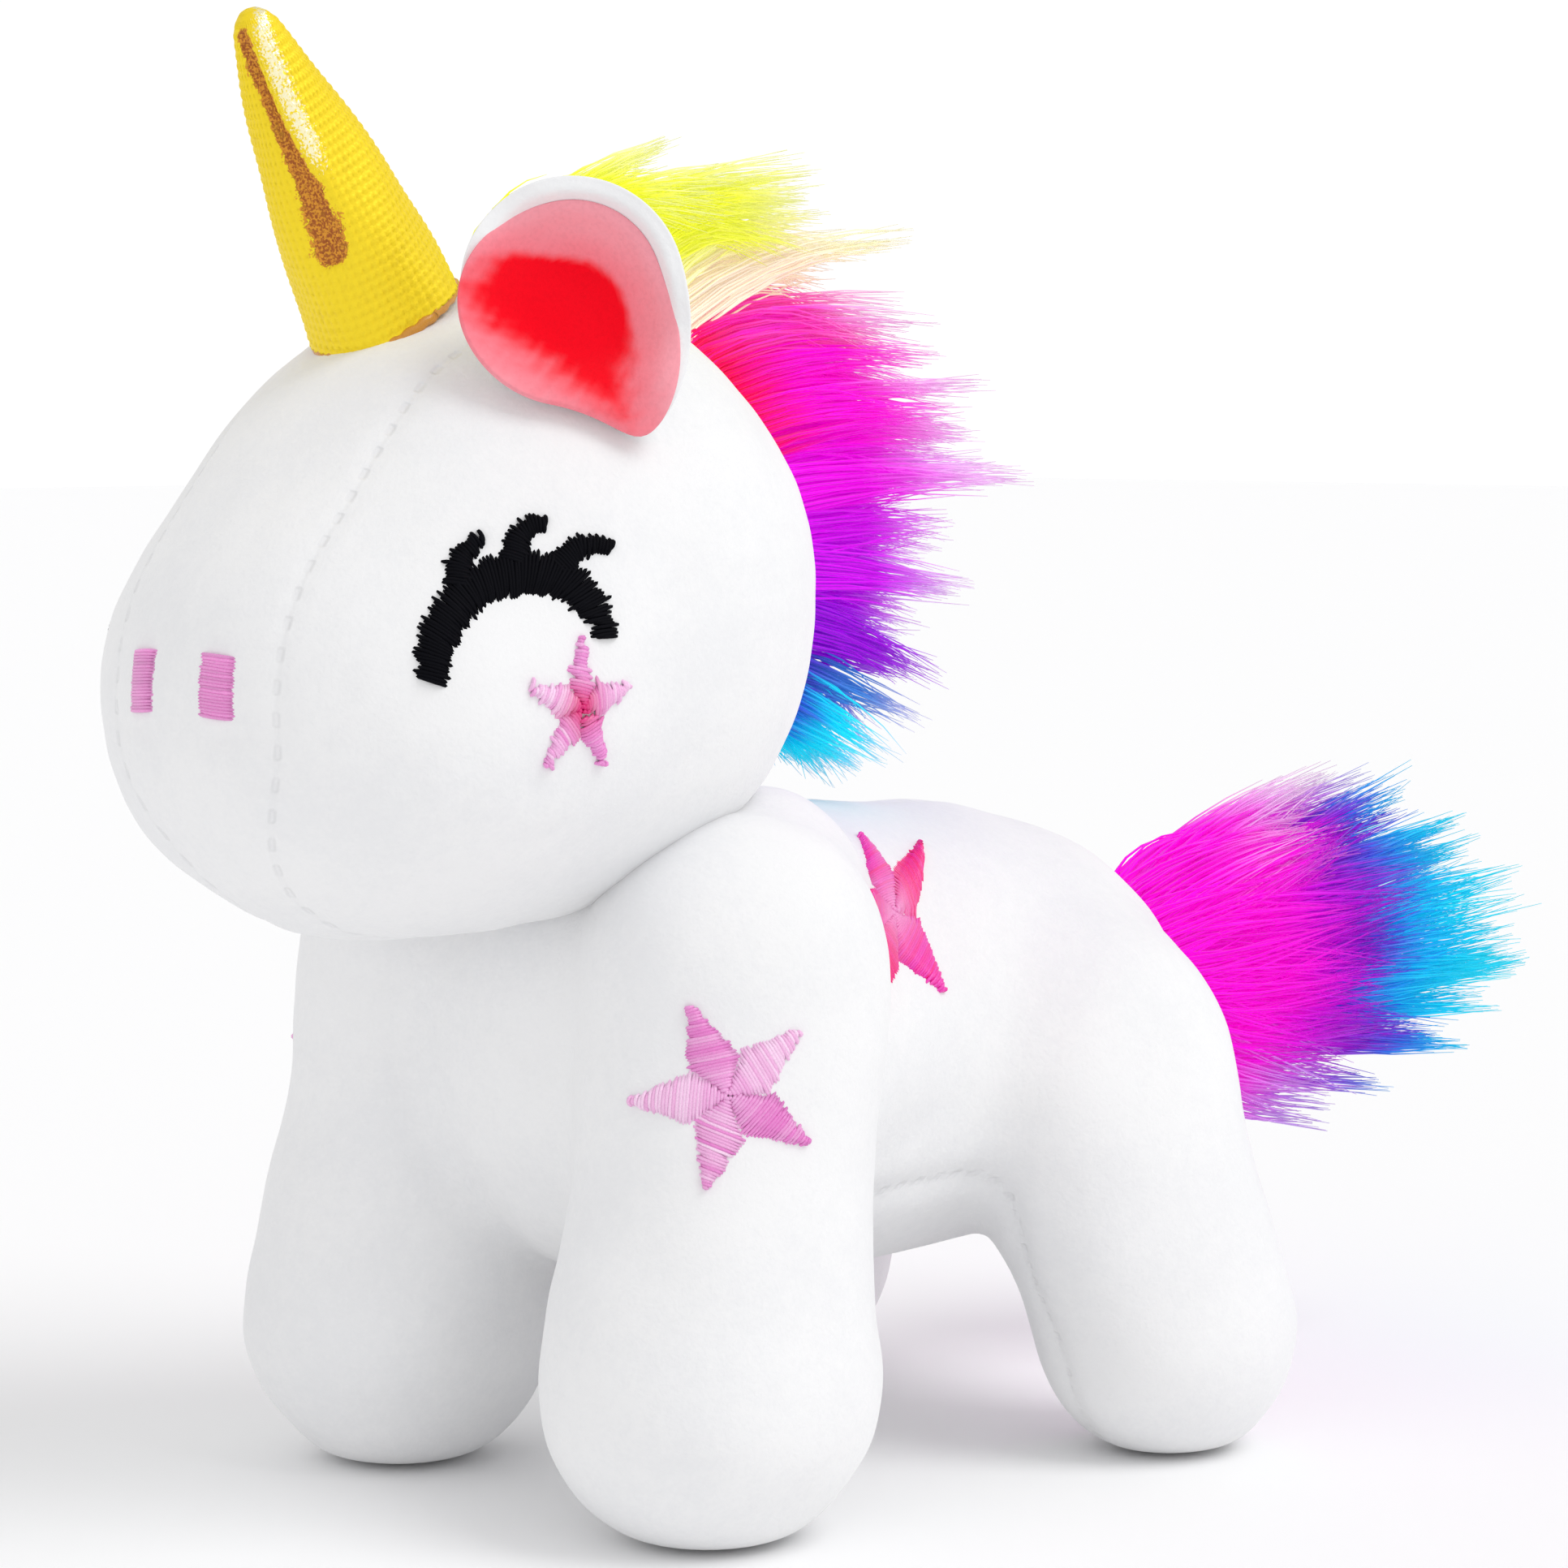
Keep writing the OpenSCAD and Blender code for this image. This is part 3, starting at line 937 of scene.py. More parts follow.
@dataclass
class Star:
    """A five-pointed star whose arms are filled with satin stitch, each arm lightened towards pale by a
    painted satin sheen.
    """

    radius: float
    turn: float
    pink: Colour
    # The pale colour is the painted satin sheen on the arms.
    pale: Colour
    core: Colour
    notch: float = 0.46
    ragged: float = 0.1
    thread: float = 0.2
    slant: float = 0.35
    stretch: float = 1.0
    shear: float = 0.0
    flare: float = 0.0

    def sew(self, hoop: Hoop, seed: int) -> Surface:
        """Sew the star."""
        rng = np.random.default_rng(seed)
        stitches = Stitches(thread=self.thread)
        for arm in range(5):
            self._arm(stitches, math.radians(self.turn + 72.0 * arm), arm, rng)
        stitches.starts = [self._pulled(start) for start in stitches.starts]
        stitches.ends = [self._pulled(end) for end in stitches.ends]
        return stitches.sewn(hoop, 0.45)

    def _pulled(self, point: Array) -> Array:
        """A point of the star, moved as the soft fabric under it is pulled."""
        across, up = point
        return np.array([across * self.stretch + up * self.shear, up * (1.0 + self.flare * across)])

    def _arm(self, stitches: Stitches, angle: float, arm: int, rng: np.random.Generator) -> None:
        """Fill one arm with stitches slanting from its ridge to its edges."""
        along = np.array([math.cos(angle), math.sin(angle)])
        across = np.array([-along[1], along[0]])
        inner = self.radius * self.notch
        shoulder, wide = inner * math.cos(math.pi / 5.0), inner * math.sin(math.pi / 5.0)
        # Painted sheen: each arm moves towards the pale colour by its own amount, as satin facets catch the
        # light, with random unevenness per stitch.
        arm_sheen = (0.3 + arm * 0.62) % 1.0
        for at in np.arange(0.25, self.radius - 0.15, stitches.thread * STITCH_PITCH):
            if at < shoulder:
                half = wide * at / shoulder
            else:
                half = wide * (self.radius - at) / (self.radius - shoulder) + 0.12
            jitter = rng.normal(scale=self.ragged, size=2)
            share = np.clip(arm_sheen * 1.1 - 0.15 + rng.normal(scale=0.24), 0.0, 1.0)
            tint = mixed(np.array(self.pink), self.pale, share)
            tint = mixed(tint, self.core, bell(at, 0.3 * self.radius))
            slant = self.slant * half
            stitches.add(
                along * (at + slant * 0.5) + across * (half + jitter[0]),
                along * (at - slant * 0.5) - across * (half + jitter[1]),
                tuple(tint),
            )


@dataclass
class Nostril:
    """A small satin-stitched patch."""

    pink: Colour = (0.84, 0.30, 0.66)
    half_wide: float = 1.95
    half_high: float = 2.5

    def sew(self, hoop: Hoop, seed: int) -> Surface:
        """Sew the nostril."""
        rng = np.random.default_rng(seed)
        stitches = Stitches(thread=0.19)
        line = np.array([[0.0, -self.half_high], [0.1, self.half_high]])
        satin_band(stitches, line, np.full(2, self.half_wide), self.pink, rng, 0.09, 0.1)
        return stitches.sewn(hoop, 0.32)


# ------------------------------------------------------------------ head


@dataclass
class Head:
    """The head's plush skin and its embroidery."""

    form: SoftForm = SoftForm(((SKULL, MUZZLE),), links=8)
    middle: tuple[float, float, float] = (0.0, -48.0, 76.5)
    gusset: float = 11.0

    def skin(self) -> Surface:
        """The head's plush skin, with its seams."""
        base = ball(detail(7))
        centre = np.array(self.middle)
        reach = np.full(len(base.points), 5.0)
        for _ in range(40):
            reach += 0.9 * np.maximum(-self.form.distance(centre + base.points * reach[:, None]), -2.0)
        points = centre + base.points * reach[:, None]
        gap, run, dart = self._seams(points)
        sink = 0.2 * bell(gap, 1.0) * stitched(run, 0.22) + 0.16 * bell(dart, 0.8)
        swell = 0.25 * lumps(points, 17.0, 3) + 0.05 * lumps(points, 5.0, 4)
        points = points + base.points * (swell - sink)[:, None]
        return Surface(points, base.faces, {"seam_gap": gap, "seam_run": run})

    def _seams(self, p: Array) -> tuple[Array, Array, Array]:
        """Distances to the face seams and to the muzzle darts, and places along the seams."""
        x, y, z = np.abs(p[:, 0]), p[:, 1], p[:, 2]
        line = self.gusset - 6.0 * smooth_step((70.0 - z) / 16.0)
        gap = x - line
        behind = smooth_step((y + 42.0) / 6.0)
        gap = gap + np.where(gap < 0.0, -1.0, 1.0) * behind * 4.0
        run = np.degrees(np.arctan2(z - 76.0, -y - 46.0)) * 0.42
        dart = np.hypot(z - 69.8 - 0.08 * (x - 6.0), 1.2 * np.maximum(np.abs(x - 7.0) - 3.6, 0.0))
        dart = np.where(y < -60.0, dart, 9.0)
        return gap, run, dart

    def build(self) -> None:
        """Make the head's pieces."""
        skin = self.skin()
        plush = dress(skin.make("head_plush"), Skin.PLUSH)
        nodes = ("head_side_left", "head_side_right", "face_gusset", "head_stuffing")
        finish_piece(plush, nodes, "head")
        self._embroider(skin.tree())

    def _embroider(self, tree: BVHTree) -> None:
        """Sew eyes, cheek stars and nostrils."""
        pink = Star(
            5.9,
            88.0,
            (0.85, 0.27, 0.66),
            (0.98, 0.66, 0.9),
            (0.75, 0.0, 0.18),
            notch=0.38,
            ragged=0.22,
            stretch=0.84,
        )
        black, bright = (Skin.BLACK_THREAD, "thread_black"), (Skin.THREAD, "thread_pink")
        work = (
            ("eye", SleepingEye(), ((23.5, -60.5, 79.8), 24.0, 14.0), black),
            ("cheek_star", pink, ((25.3, -56.5, 72.3), 18.0, -4.0), bright),
            ("nostril", Nostril(), ((5.0, -77.0, 74.0), 78.0, 5.0), bright),
        )
        for index, (name, side) in enumerate(SIDES.items()):
            for number, (label, design, place, (finish, slot)) in enumerate(work):
                node = f"{label}_{name}"
                threads = design.sew(Hoop(tree, *place, side), 10 * index + number)
                sewn = dress(threads.make(f"{node}_stitches"), finish)
                finish_piece(sewn, [node], "head")


# ------------------------------------------------------------------ body and legs


@dataclass(frozen=True)
class Leg:
    """One leg: its eggs on the left side, its hinge and how its skin hands over to the body.

    Attributes:
        name: Which leg it is.
        side: 1 for the toy's left, -1 for its right.
        hinge: The joint's middle on the left side.
        lobes: Its eggs on the left side, from the top down.
        top: Height where the skin starts to follow the leg.
        bottom: Height from which it follows the leg fully.
        reach: How far from the leg's middle line the skin still follows it.
        fade: Width over which it stops following.
        foot: Height under which all skin near the foot follows the leg.
        foot_reach: How far from the middle line that skin is.
    """

    name: str
    side: float
    hinge: tuple[float, float, float]
    lobes: tuple[Lobe, ...]
    top: float
    bottom: float
    reach: float = 19.5
    fade: float = 4.5
    foot: float = 14.0
    foot_reach: float = 22.0

    def chain(self) -> tuple[Lobe, ...]:
        """The eggs on the leg's own side."""
        return tuple(mirrored(lobe, self.side) for lobe in self.lobes)

    def weight(self, p: Array) -> Array:
        """How far each point of the skin follows the leg, from 0 to 1."""
        line = np.array([lobe.centre for lobe in self.lobes])
        x = np.interp(-p[:, 2], -line[:, 2], line[:, 0]) * self.side
        y = np.interp(-p[:, 2], -line[:, 2], line[:, 1])
        away = np.hypot(p[:, 0] - x, p[:, 1] - y)
        down = smooth_step((self.top - p[:, 2]) / (self.top - self.bottom))
        near = smooth_step((self.reach - away) / self.fade)
        low = smooth_step((self.foot - p[:, 2]) / 4.0) * (away < self.foot_reach)
        return down * np.maximum(near, low)

    def body(self) -> str:
        """The leg's body in the part."""
        return f"leg_{self.name}"


FRONT_LOBES = (
    Lobe((19.0, -33.0, 48.5), (13.4, 13.4, 13.4)),
    Lobe((20.2, -35.6, 29.0), (12.6, 12.6, 13.0)),
    Lobe((20.7, -37.7, 13.2), (14.5, 14.5, 14.4)),
)
REAR_LOBES = (
    Lobe((17.0, 12.0, 35.0), (14.0, 15.5, 15.0)),
    Lobe((24.0, 13.2, 22.0), (11.3, 12.4, 12.5)),
    Lobe((26.5, 15.5, 10.6), (11.4, 12.3, 11.6)),
)


def all_legs() -> list[Leg]:
    """The four legs."""
    legs = []
    for name, side in SIDES.items():
        legs.append(Leg(f"front_{name}", side, FRONT_HINGE, FRONT_LOBES, 52.0, 22.0))
        legs.append(Leg(f"rear_{name}", side, REAR_HINGE, REAR_LOBES, 42.0, 15.0))
    return legs


@dataclass
class Body:
    """The body's plush skin with its four legs, and the stars sewn onto it."""

    legs: list[Leg] = field(default_factory=all_legs)
    trunk: tuple[Lobe, ...] = (
        Lobe((0.0, -28.0, 41.0), (25.0, 17.0, 22.6)),
        Lobe((0.0, -9.0, 38.2), (21.0, 17.0, 21.9)),
        Lobe((0.0, 10.8, 37.9), (24.5, 24.0, 20.4)),
    )
    yoke: Lobe = Lobe((13.5, -25.0, 51.5), (10.0, 10.0, 11.5))
    voxel: float = 0.75
    fillet: float = 2.8

    def form(self) -> SoftForm:
        """The whole soft body."""
        yoke = tuple(mirrored(self.yoke, side) for side in SIDES.values())
        chains = (self.trunk, yoke, *(leg.chain() for leg in self.legs))
        return SoftForm(chains, fillet=self.fillet, links=5)

    def skin(self) -> Surface:
        """The skin of body and legs in one, with its seams."""
        surface = remeshed(self.form(), self.voxel * detail(1), 6)
        gap, run = self._seams(surface.points)
        normals = surface.normals()
        sink = 0.4 * bell(gap, 1.1) * stitched(run, 0.3)
        swell = 0.28 * lumps(surface.points, 15.0, 8) + 0.05 * lumps(surface.points, 5.0, 9)
        lifted = smooth_step(surface.points[:, 2] / 4.0)
        surface.points = surface.points + normals * ((swell - sink) * lifted)[:, None]
        surface.values = {"seam_gap": gap, "seam_run": run}
        return surface

    @staticmethod
    def _seams(p: Array) -> tuple[Array, Array]:
        """Distance to the seam round the belly and inner legs, and the place along it."""
        x, y, z = np.abs(p[:, 0]), p[:, 1], p[:, 2]
        rear = smooth_step((y + 14.0) / 12.0)
        line = 20.4 + rear * 1.4 + rear * 3.0 * smooth_step((20.0 - z) / 16.0)
        gap = smooth_max(z - 27.5, x - line, 6.0)
        gap = np.abs(gap) + 9.0 * smooth_step((-27.0 - y) / 5.0)
        spine = x + 9.0 * smooth_step((40.0 - z) / 8.0) + 9.0 * smooth_step((-20.0 - y) / 4.0)
        return np.minimum(gap, spine), z - y

    def build(self) -> None:
        """Make the body's pieces."""
        skin = self.skin()
        normals = skin.normals()
        owners = self._owners(skin)
        trunk = self._part(skin, normals, owners == -1, "body_plush")
        nodes = ("body_side_left", "body_side_right", "belly_gusset", "torso_stuffing")
        finish_piece(trunk, nodes, "torso")
        for index, leg in enumerate(self.legs):
            piece = self._part(skin, normals, owners == index, f"leg_{leg.name}_plush")
            self._bend(piece, leg)
            nodes = [f"leg_{leg.name}_{layer}" for layer in ("outer", "inner", "stuffing")]
            finish_piece(piece, nodes)
        self._embroider(skin.tree())

    def _owners(self, skin: Surface) -> Array:
        """The number of the leg that each face belongs to, or -1 for the trunk."""
        weights = np.stack([leg.weight(skin.points) for leg in self.legs])
        owner = np.argmax(weights, axis=0)
        strongest = np.max(weights, axis=0)
        owners = []
        for face in skin.faces:
            best = max(face, key=lambda i: strongest[i])
            owners.append(owner[best] if strongest[best] > 0 else -1)
        return np.array(owners)

    @staticmethod
    def _part(skin: Surface, normals: Array, chosen: Array, name: str) -> bpy.types.Object:
        """Cut some faces out of the skin, keeping its shading across the cut."""
        faces = [f for f, keep in zip(skin.faces, chosen) if keep]
        used = np.unique(np.concatenate([np.array(f) for f in faces]))
        fresh = np.full(len(skin.points), -1)
        fresh[used] = np.arange(len(used))
        part = Surface(
            skin.points[used],
            [tuple(int(fresh[i]) for i in f) for f in faces],
            {k: v[used] for k, v in skin.values.items()},
        )
        obj = dress(part.make(name), Skin.PLUSH)
        obj.data.normals_split_custom_set_from_vertices(normals[used].tolist())
        return obj

    @staticmethod
    def _bend(piece: bpy.types.Object, leg: Leg) -> None:
        """Bake the piece's transform and work out how far its points follow the leg; the weights are not
        applied.
        """
        x, y, _ = leg.hinge
        x * leg.side * MM
        x * leg.side * MM
        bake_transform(piece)
        points = np.empty(len(piece.data.vertices) * 3)
        piece.data.vertices.foreach_get("co", points)
        weight = leg.weight(points.reshape(-1, 3) / MM)

    def _embroider(self, tree: BVHTree) -> None:
        """Sew the shoulder and flank stars."""
        soft = Star(8.2, 112.0, (0.82, 0.22, 0.62), (0.98, 0.68, 0.90), (0.90, 0.42, 0.76), notch=0.44)
        hot = Star(
            10.4,
            36.0,
            (0.95, 0.0, 0.22),
            (0.9, 0.05, 0.5),
            (0.9, 0.3, 0.62),
            notch=0.45,
            stretch=0.86,
            shear=0.58,
            flare=0.03,
        )
        for index, (name, side) in enumerate(SIDES.items()):
            leg = next(item for item in self.legs if item.name == f"front_{name}")
            place = ((28.4, -42.7, 39.7), 38.0) if side > 0 else ((31.1, -34.8, 39.0), 3.0)
            work = (
                ("shoulder_star", soft, (*place, 4.0), 40, "thread_pink"),
                ("flank_star", hot, ((20.0, -13.2, 52.3), 0.0, 28.0), 50, "thread_hot_pink"),
            )
            for label, star, spot, seed, slot in work:
                node = f"{label}_{name}"
                threads = star.sew(Hoop(tree, *spot, side), seed + index)
                sewn = dress(threads.make(f"{node}_stitches"), Skin.THREAD)
                self._bend(sewn, leg)
                finish_piece(sewn, [node])


# ------------------------------------------------------------------ horn


@dataclass
class Horn:
    """A stuffed cone of foil-coated knit with a turned hem."""

    at: tuple[float, float, float] = (0.0, -55.3, 104.0)
    radius: float = 6.6
    tip: float = 1.45
    length: float = 28.4
    lean: float = 30.0
    hem_inset: float = 0.25
    hem_thick: float = 0.5
    hem_brown: Colour = (0.62, 0.27, 0.03)
    wales: int = 50
    courses: int = 36

    def _place(self, p: Array) -> Array:
        """Horn coordinates into the part's frame."""
        return p @ turned("X", self.lean).T + np.array(self.at)

    def _profile(self, t: Array) -> Array:
        """Radius at a share t of the length, rounded at the tip."""
        cone = self.radius * (1.0 - t) + self.tip * t + 0.8 * np.sin(math.pi * t)
        end = np.clip((t - 0.93) / 0.07, 0.0, 1.0)
        return cone * np.sqrt(np.clip(1.0 - end**2, 0.0, 1.0))

    @staticmethod
    def _foot(theta: Array) -> Array:
        """How far the horn's foot waves up and down around it."""
        return 0.35 * np.sin(theta * 2.0 + 0.6)

    def fabric(self) -> Surface:
        """The cone with its loops, its fold and its pulled wrinkles, with masks for the painted dark
        reflection along the fold and the painted glints beside it.
        """
        fine = detail(4)
        around, up = self.wales * fine, self.courses * fine
        theta, t = np.meshgrid(
            np.linspace(0.0, 2.0 * math.pi, around, endpoint=False),
            np.linspace(0.0, 1.0, up),
            indexing="ij",
        )
        r = self._profile(t)
        column = theta * self.wales / (2.0 * math.pi)
        row = t * self.courses
        loop = np.abs(np.sin(math.pi * column)) ** 0.7
        chevron = np.sin(2.0 * math.pi * (row + 0.35 * np.abs(np.sin(math.pi * column))))
        knit = 0.1 * loop + 0.06 * chevron
        fold_line = math.radians(-66.0) + 0.22 * np.sin(5.0 * t - 0.6)
        off = np.angle(np.exp(1j * (theta - fold_line)))
        wide = 0.75 + 1.1 * bell(t - 0.36, 0.16)
        span = smooth_step((t - 0.24) / 0.04) * smooth_step((0.99 - t) / 0.06)
        # This mask both sinks the fold and places the painted dark reflection along it.
        fold = bell(off * r, wide) * span
        # Mask of the painted glints beside the fold.
        shine = bell(off * r - 1.9, 1.1) * smooth_step((t - 0.42) / 0.2)
        pulls = 0.16 * np.sin(5.0 * theta + 9.0 * t) * (1.0 - t) ** 2 + 0.1 * np.sin(3.0 * theta - 14.0 * t)
        ridge = bell(off * r - 1.7, 1.1) * smooth_step((t - 0.15) / 0.3)
        radius = r + np.minimum(r / 3.0, 1.0) * (knit + pulls - 0.6 * fold + 0.4 * ridge)
        height = t * self.length + self._foot(theta) * (1.0 - t) ** 3
        side = np.stack([radius * np.cos(theta), radius * np.sin(theta), height], axis=-1)
        points = side.reshape(-1, 3)
        i, j = np.meshgrid(np.arange(around), np.arange(up - 1), indexing="ij")
        k = (i + 1) % around
        quads = np.stack([i * up + j, k * up + j, k * up + j + 1, i * up + j + 1], axis=-1)
        faces = [tuple(q) for q in quads.reshape(-1, 4).tolist()]
        bottom, top = len(points), len(points) + 1
        points = np.vstack([points, [[0.0, 0.0, 0.4], [0.0, 0.0, self.length]]])
        for a in range(around):
            b = (a + 1) % around
            faces.append((b * up, a * up, bottom))
            faces.append((a * up + up - 1, b * up + up - 1, top))
        kept = {"fold": fold, "spark": shine}
        values = {key: np.r_[value.ravel(), 0.0, 0.0] for key, value in kept.items()}
        return Surface(self._place(points), faces, values)

    def hem(self) -> Surface:
        """The turned edge at the horn's foot."""
        theta = np.linspace(0.0, 2.0 * math.pi, 120)
        radius = self.radius - self.hem_inset
        height = self._foot(theta) + 0.08 * np.sin(26.0 * theta) - self.hem_inset
        ring = np.stack([radius * np.cos(theta), radius * np.sin(theta), height], axis=-1)
        tint = np.tile(self.hem_brown, (1, len(theta), 1))
        return tubes(self._place(ring)[None], np.full(len(theta), self.hem_thick), 8, tint)

    def build(self) -> None:
        """Make the horn's pieces."""
        fabric = dress(self.fabric().make("horn_knit"), Skin.FOIL)
        finish_piece(fabric, ("horn_fabric", "horn_stuffing"), "horn")
        hem = dress(self.hem().make("horn_hem_edge"), Skin.THREAD)
        finish_piece(hem, ["horn_hem"], "horn")


# ------------------------------------------------------------------ ears


@dataclass
class Ear:
    """A cupped ear: a white plush shell with a rolled edge and a pink lining.

    Ear coordinates: x across the ear, z from its pinched root to its round end, and the
    hollow opens towards -y. Their origin is the middle of the round end.
    """

    name: str
    side: float
    middle: tuple[float, float, float]
    lean: float = 27.0
    half: float = 9.15
    root: float = 12.9
    cup: float = 4.6
    turn: float = 45.0
    around: int = 180
    rings: int = 34
    rose: Colour = (0.90, 0.34, 0.40)
    flushed: Colour = (0.92, 0.15, 0.20)
    shaded_red: Colour = (0.93, 0.0, 0.012)
    drop: tuple = (
        (-8.0, 4.2, 1.8),
        (-5.0, 1.6, 4.4),
        (-1.7, -1.8, 5.5),
        (-1.2, -6.2, 4.0),
        (-0.8, -11.8, 1.4),
    )

    def _place(self, p: Array) -> Array:
        """Ear coordinates into the part's frame."""
        tilt = turned("Z", self.turn) @ turned("Y", -self.lean)
        out = p @ tilt.T + np.array(self.middle)
        return out * np.array([self.side, 1.0, 1.0])

    def _inside(self, x: Array, z: Array) -> Array:
        """How far a point is inside the ear's outline, negative outside."""
        best = np.full(np.shape(x), -99.0)
        for t in np.linspace(0.0, 1.0, 40):
            r = 1.0 + (self.half - 1.0) * t**0.8
            low = -(self.root - 1.0) * (1.0 - t)
            best = np.maximum(best, r - np.hypot(x - 4.6 * t * (1.0 - t), z - low))
        return best

    def _outline(self, angle: Array) -> Array:
        """Distance from the origin to the outline, angle by angle."""
        low, high = np.zeros(len(angle)), np.full(len(angle), 20.0)
        for _ in range(24):
            mid = (low + high) / 2.0
            inside = self._inside(mid * np.cos(angle), mid * np.sin(angle)) > 0.0
            low, high = np.where(inside, mid, low), np.where(inside, high, mid)
        return low

    def _grid(self, inset: float, rim: float) -> tuple[Array, Array, Array]:
        """Flat points on a polar grid inside the outline.

        Args:
            inset: How far the grid's edge is inside the outline.
            rim: How much further inside it is along the ear's upper side.

        Returns:
            The points' x, their z, and their share of the way to the grid's edge.
        """
        angle = np.linspace(0.0, 2.0 * math.pi, self.around, endpoint=False)
        share = np.sin(np.linspace(0.0, math.pi / 2.0, self.rings))
        upper = smooth_step(0.5 + 0.6 * np.cos(angle - math.radians(35.0)))
        edge = np.maximum(self._outline(angle) - inset - rim * upper, 0.3)
        rho = share[:, None] * edge[None]
        x = rho * np.cos(angle)[None]
        z = rho * np.sin(angle)[None]
        return x, z, np.repeat(share[:, None], self.around, axis=1)

    def _bowl(self, x: Array, z: Array) -> Array:
        """Depth of the ear's hollow, as y."""
        depth = np.clip(self._inside(x, z), 0.0, self.half)
        near = 1.0 - depth / self.half
        bowl = 1.6 - self.cup * near**2.4
        root = smooth_step((-z - 5.0) / 6.0)
        return bowl * (1.0 - root) + (-1.4 - 0.5 * near) * root + 0.2 * np.sin(0.8 * x + 0.4 * z)

    @staticmethod
    def _closed(front: Array, back: Array) -> tuple[Array, list]:
        """Join two polar grids at their edges into a closed shell."""
        rings, around = front.shape[:2]
        points = np.concatenate([front.reshape(-1, 3), back.reshape(-1, 3)])
        half = rings * around
        faces = ring_faces(rings, around)
        faces += [tuple(half + i for i in quad[::-1]) for quad in faces]
        for a in range(half - around, half):
            b = a + 1 if a + 1 < half else half - around
            faces.append((a, b, half + b, half + a))
        return points, faces

    def _piece(self, inset: float, rim: float, front: float, back: float, roll: float) -> tuple:
        """A sheet of the cup between two depths, with a rounded edge.

        Args:
            inset: How far its edge is inside the outline.
            rim: How much further inside it is along the ear's upper side.
            front: Its front face's offset along -y.
            back: Its back face's offset along +y.
            roll: How far its edge swells.

        Returns:
            Its points in ear coordinates and its faces.
        """
        x, z, share = self._grid(inset, rim)
        y = self._bowl(x, z)
        edge = np.clip((share - 0.8) / 0.2, 0.0, 1.0)
        pinch = np.sqrt(np.clip(1.0 - edge**4, 0.0, 1.0))
        swell = roll * np.sin(math.pi * np.clip((share - 0.7) / 0.3, 0.0, 1.0)) ** 2
        middle = (back - front) / 2.0
        thick = (back + front) / 2.0
        near = np.stack([x, y + middle - (thick + swell) * pinch, z], axis=-1)
        far = np.stack([x, y + middle + (thick + 0.3 * swell) * pinch, z], axis=-1)
        return self._closed(near, far)

    def _surface(self, points: Array, faces: list, values: dict[str, Array]) -> Surface:
        """A surface in the part's frame, with its faces turned outwards."""
        return Surface(self._place(points), faces if self.side < 0 else [f[::-1] for f in faces], values)

    def shell(self) -> Surface:
        """The white shell with a rolled rim."""
        points, faces = self._piece(0.0, 0.0, 0.1, 1.2, 0.75)
        return self._surface(points, faces, {})

    def lining(self) -> Surface:
        """The pink lining, deep red in its hollow: partly the lining's own red and partly painted shade of
        the cup.
        """
        points, faces = self._piece(-0.3, 2.2, 1.05, -0.15, 0.15)
        x, z = points[:, 0], points[:, 2]
        lower = smooth_step(0.5 - (x + 0.55 * z + 2.2) / 5.0)
        wisps = lumps(points * np.array([1.0, 0.2, 1.0]), 1.6, 21) + 0.6 * lumps(points, 0.9, 22)
        inside = self._hollow(x, z) + (0.08 + 0.22 * lower) * wisps
        # The deep red and the redder ring around it are partly the lining's own colour and partly painted
        # shade of the hollow.
        depth = smooth_step(inside / (0.9 + 2.2 * lower))
        flush = 0.6 * smooth_step((inside + 2.6) / 3.2)
        tint = mixed(mixed(np.array([self.rose]), self.flushed, flush), self.shaded_red, depth)
        return self._surface(points, faces, {"tint": tint})

    def _hollow(self, x: Array, z: Array) -> Array:
        """How far a point is inside the deep red hollow of partly painted shade, a slanting drop down to the
        root.
        """
        best = np.full(np.shape(x), -99.0)
        for (x0, z0, r0), (x1, z1, r1) in zip(self.drop, self.drop[1:]):
            for t in np.linspace(0.0, 1.0, 9):
                away = np.hypot(x - x0 - (x1 - x0) * t, z - z0 - (z1 - z0) * t)
                best = np.maximum(best, r0 + (r1 - r0) * t - away)
        return best

    def build(self) -> None:
        """Make the ear's pieces."""
        shell = dress(self.shell().make(f"ear_{self.name}_shell"), Skin.EAR_PLUSH)
        lining = dress(self.lining().make(f"ear_{self.name}_inside"), Skin.LINING)
        finish_piece(shell, [f"ear_{self.name}_outer"], f"ear_{self.name}")
        finish_piece(lining, [f"ear_{self.name}_lining"], f"ear_{self.name}")


# ------------------------------------------------------------------ long hair


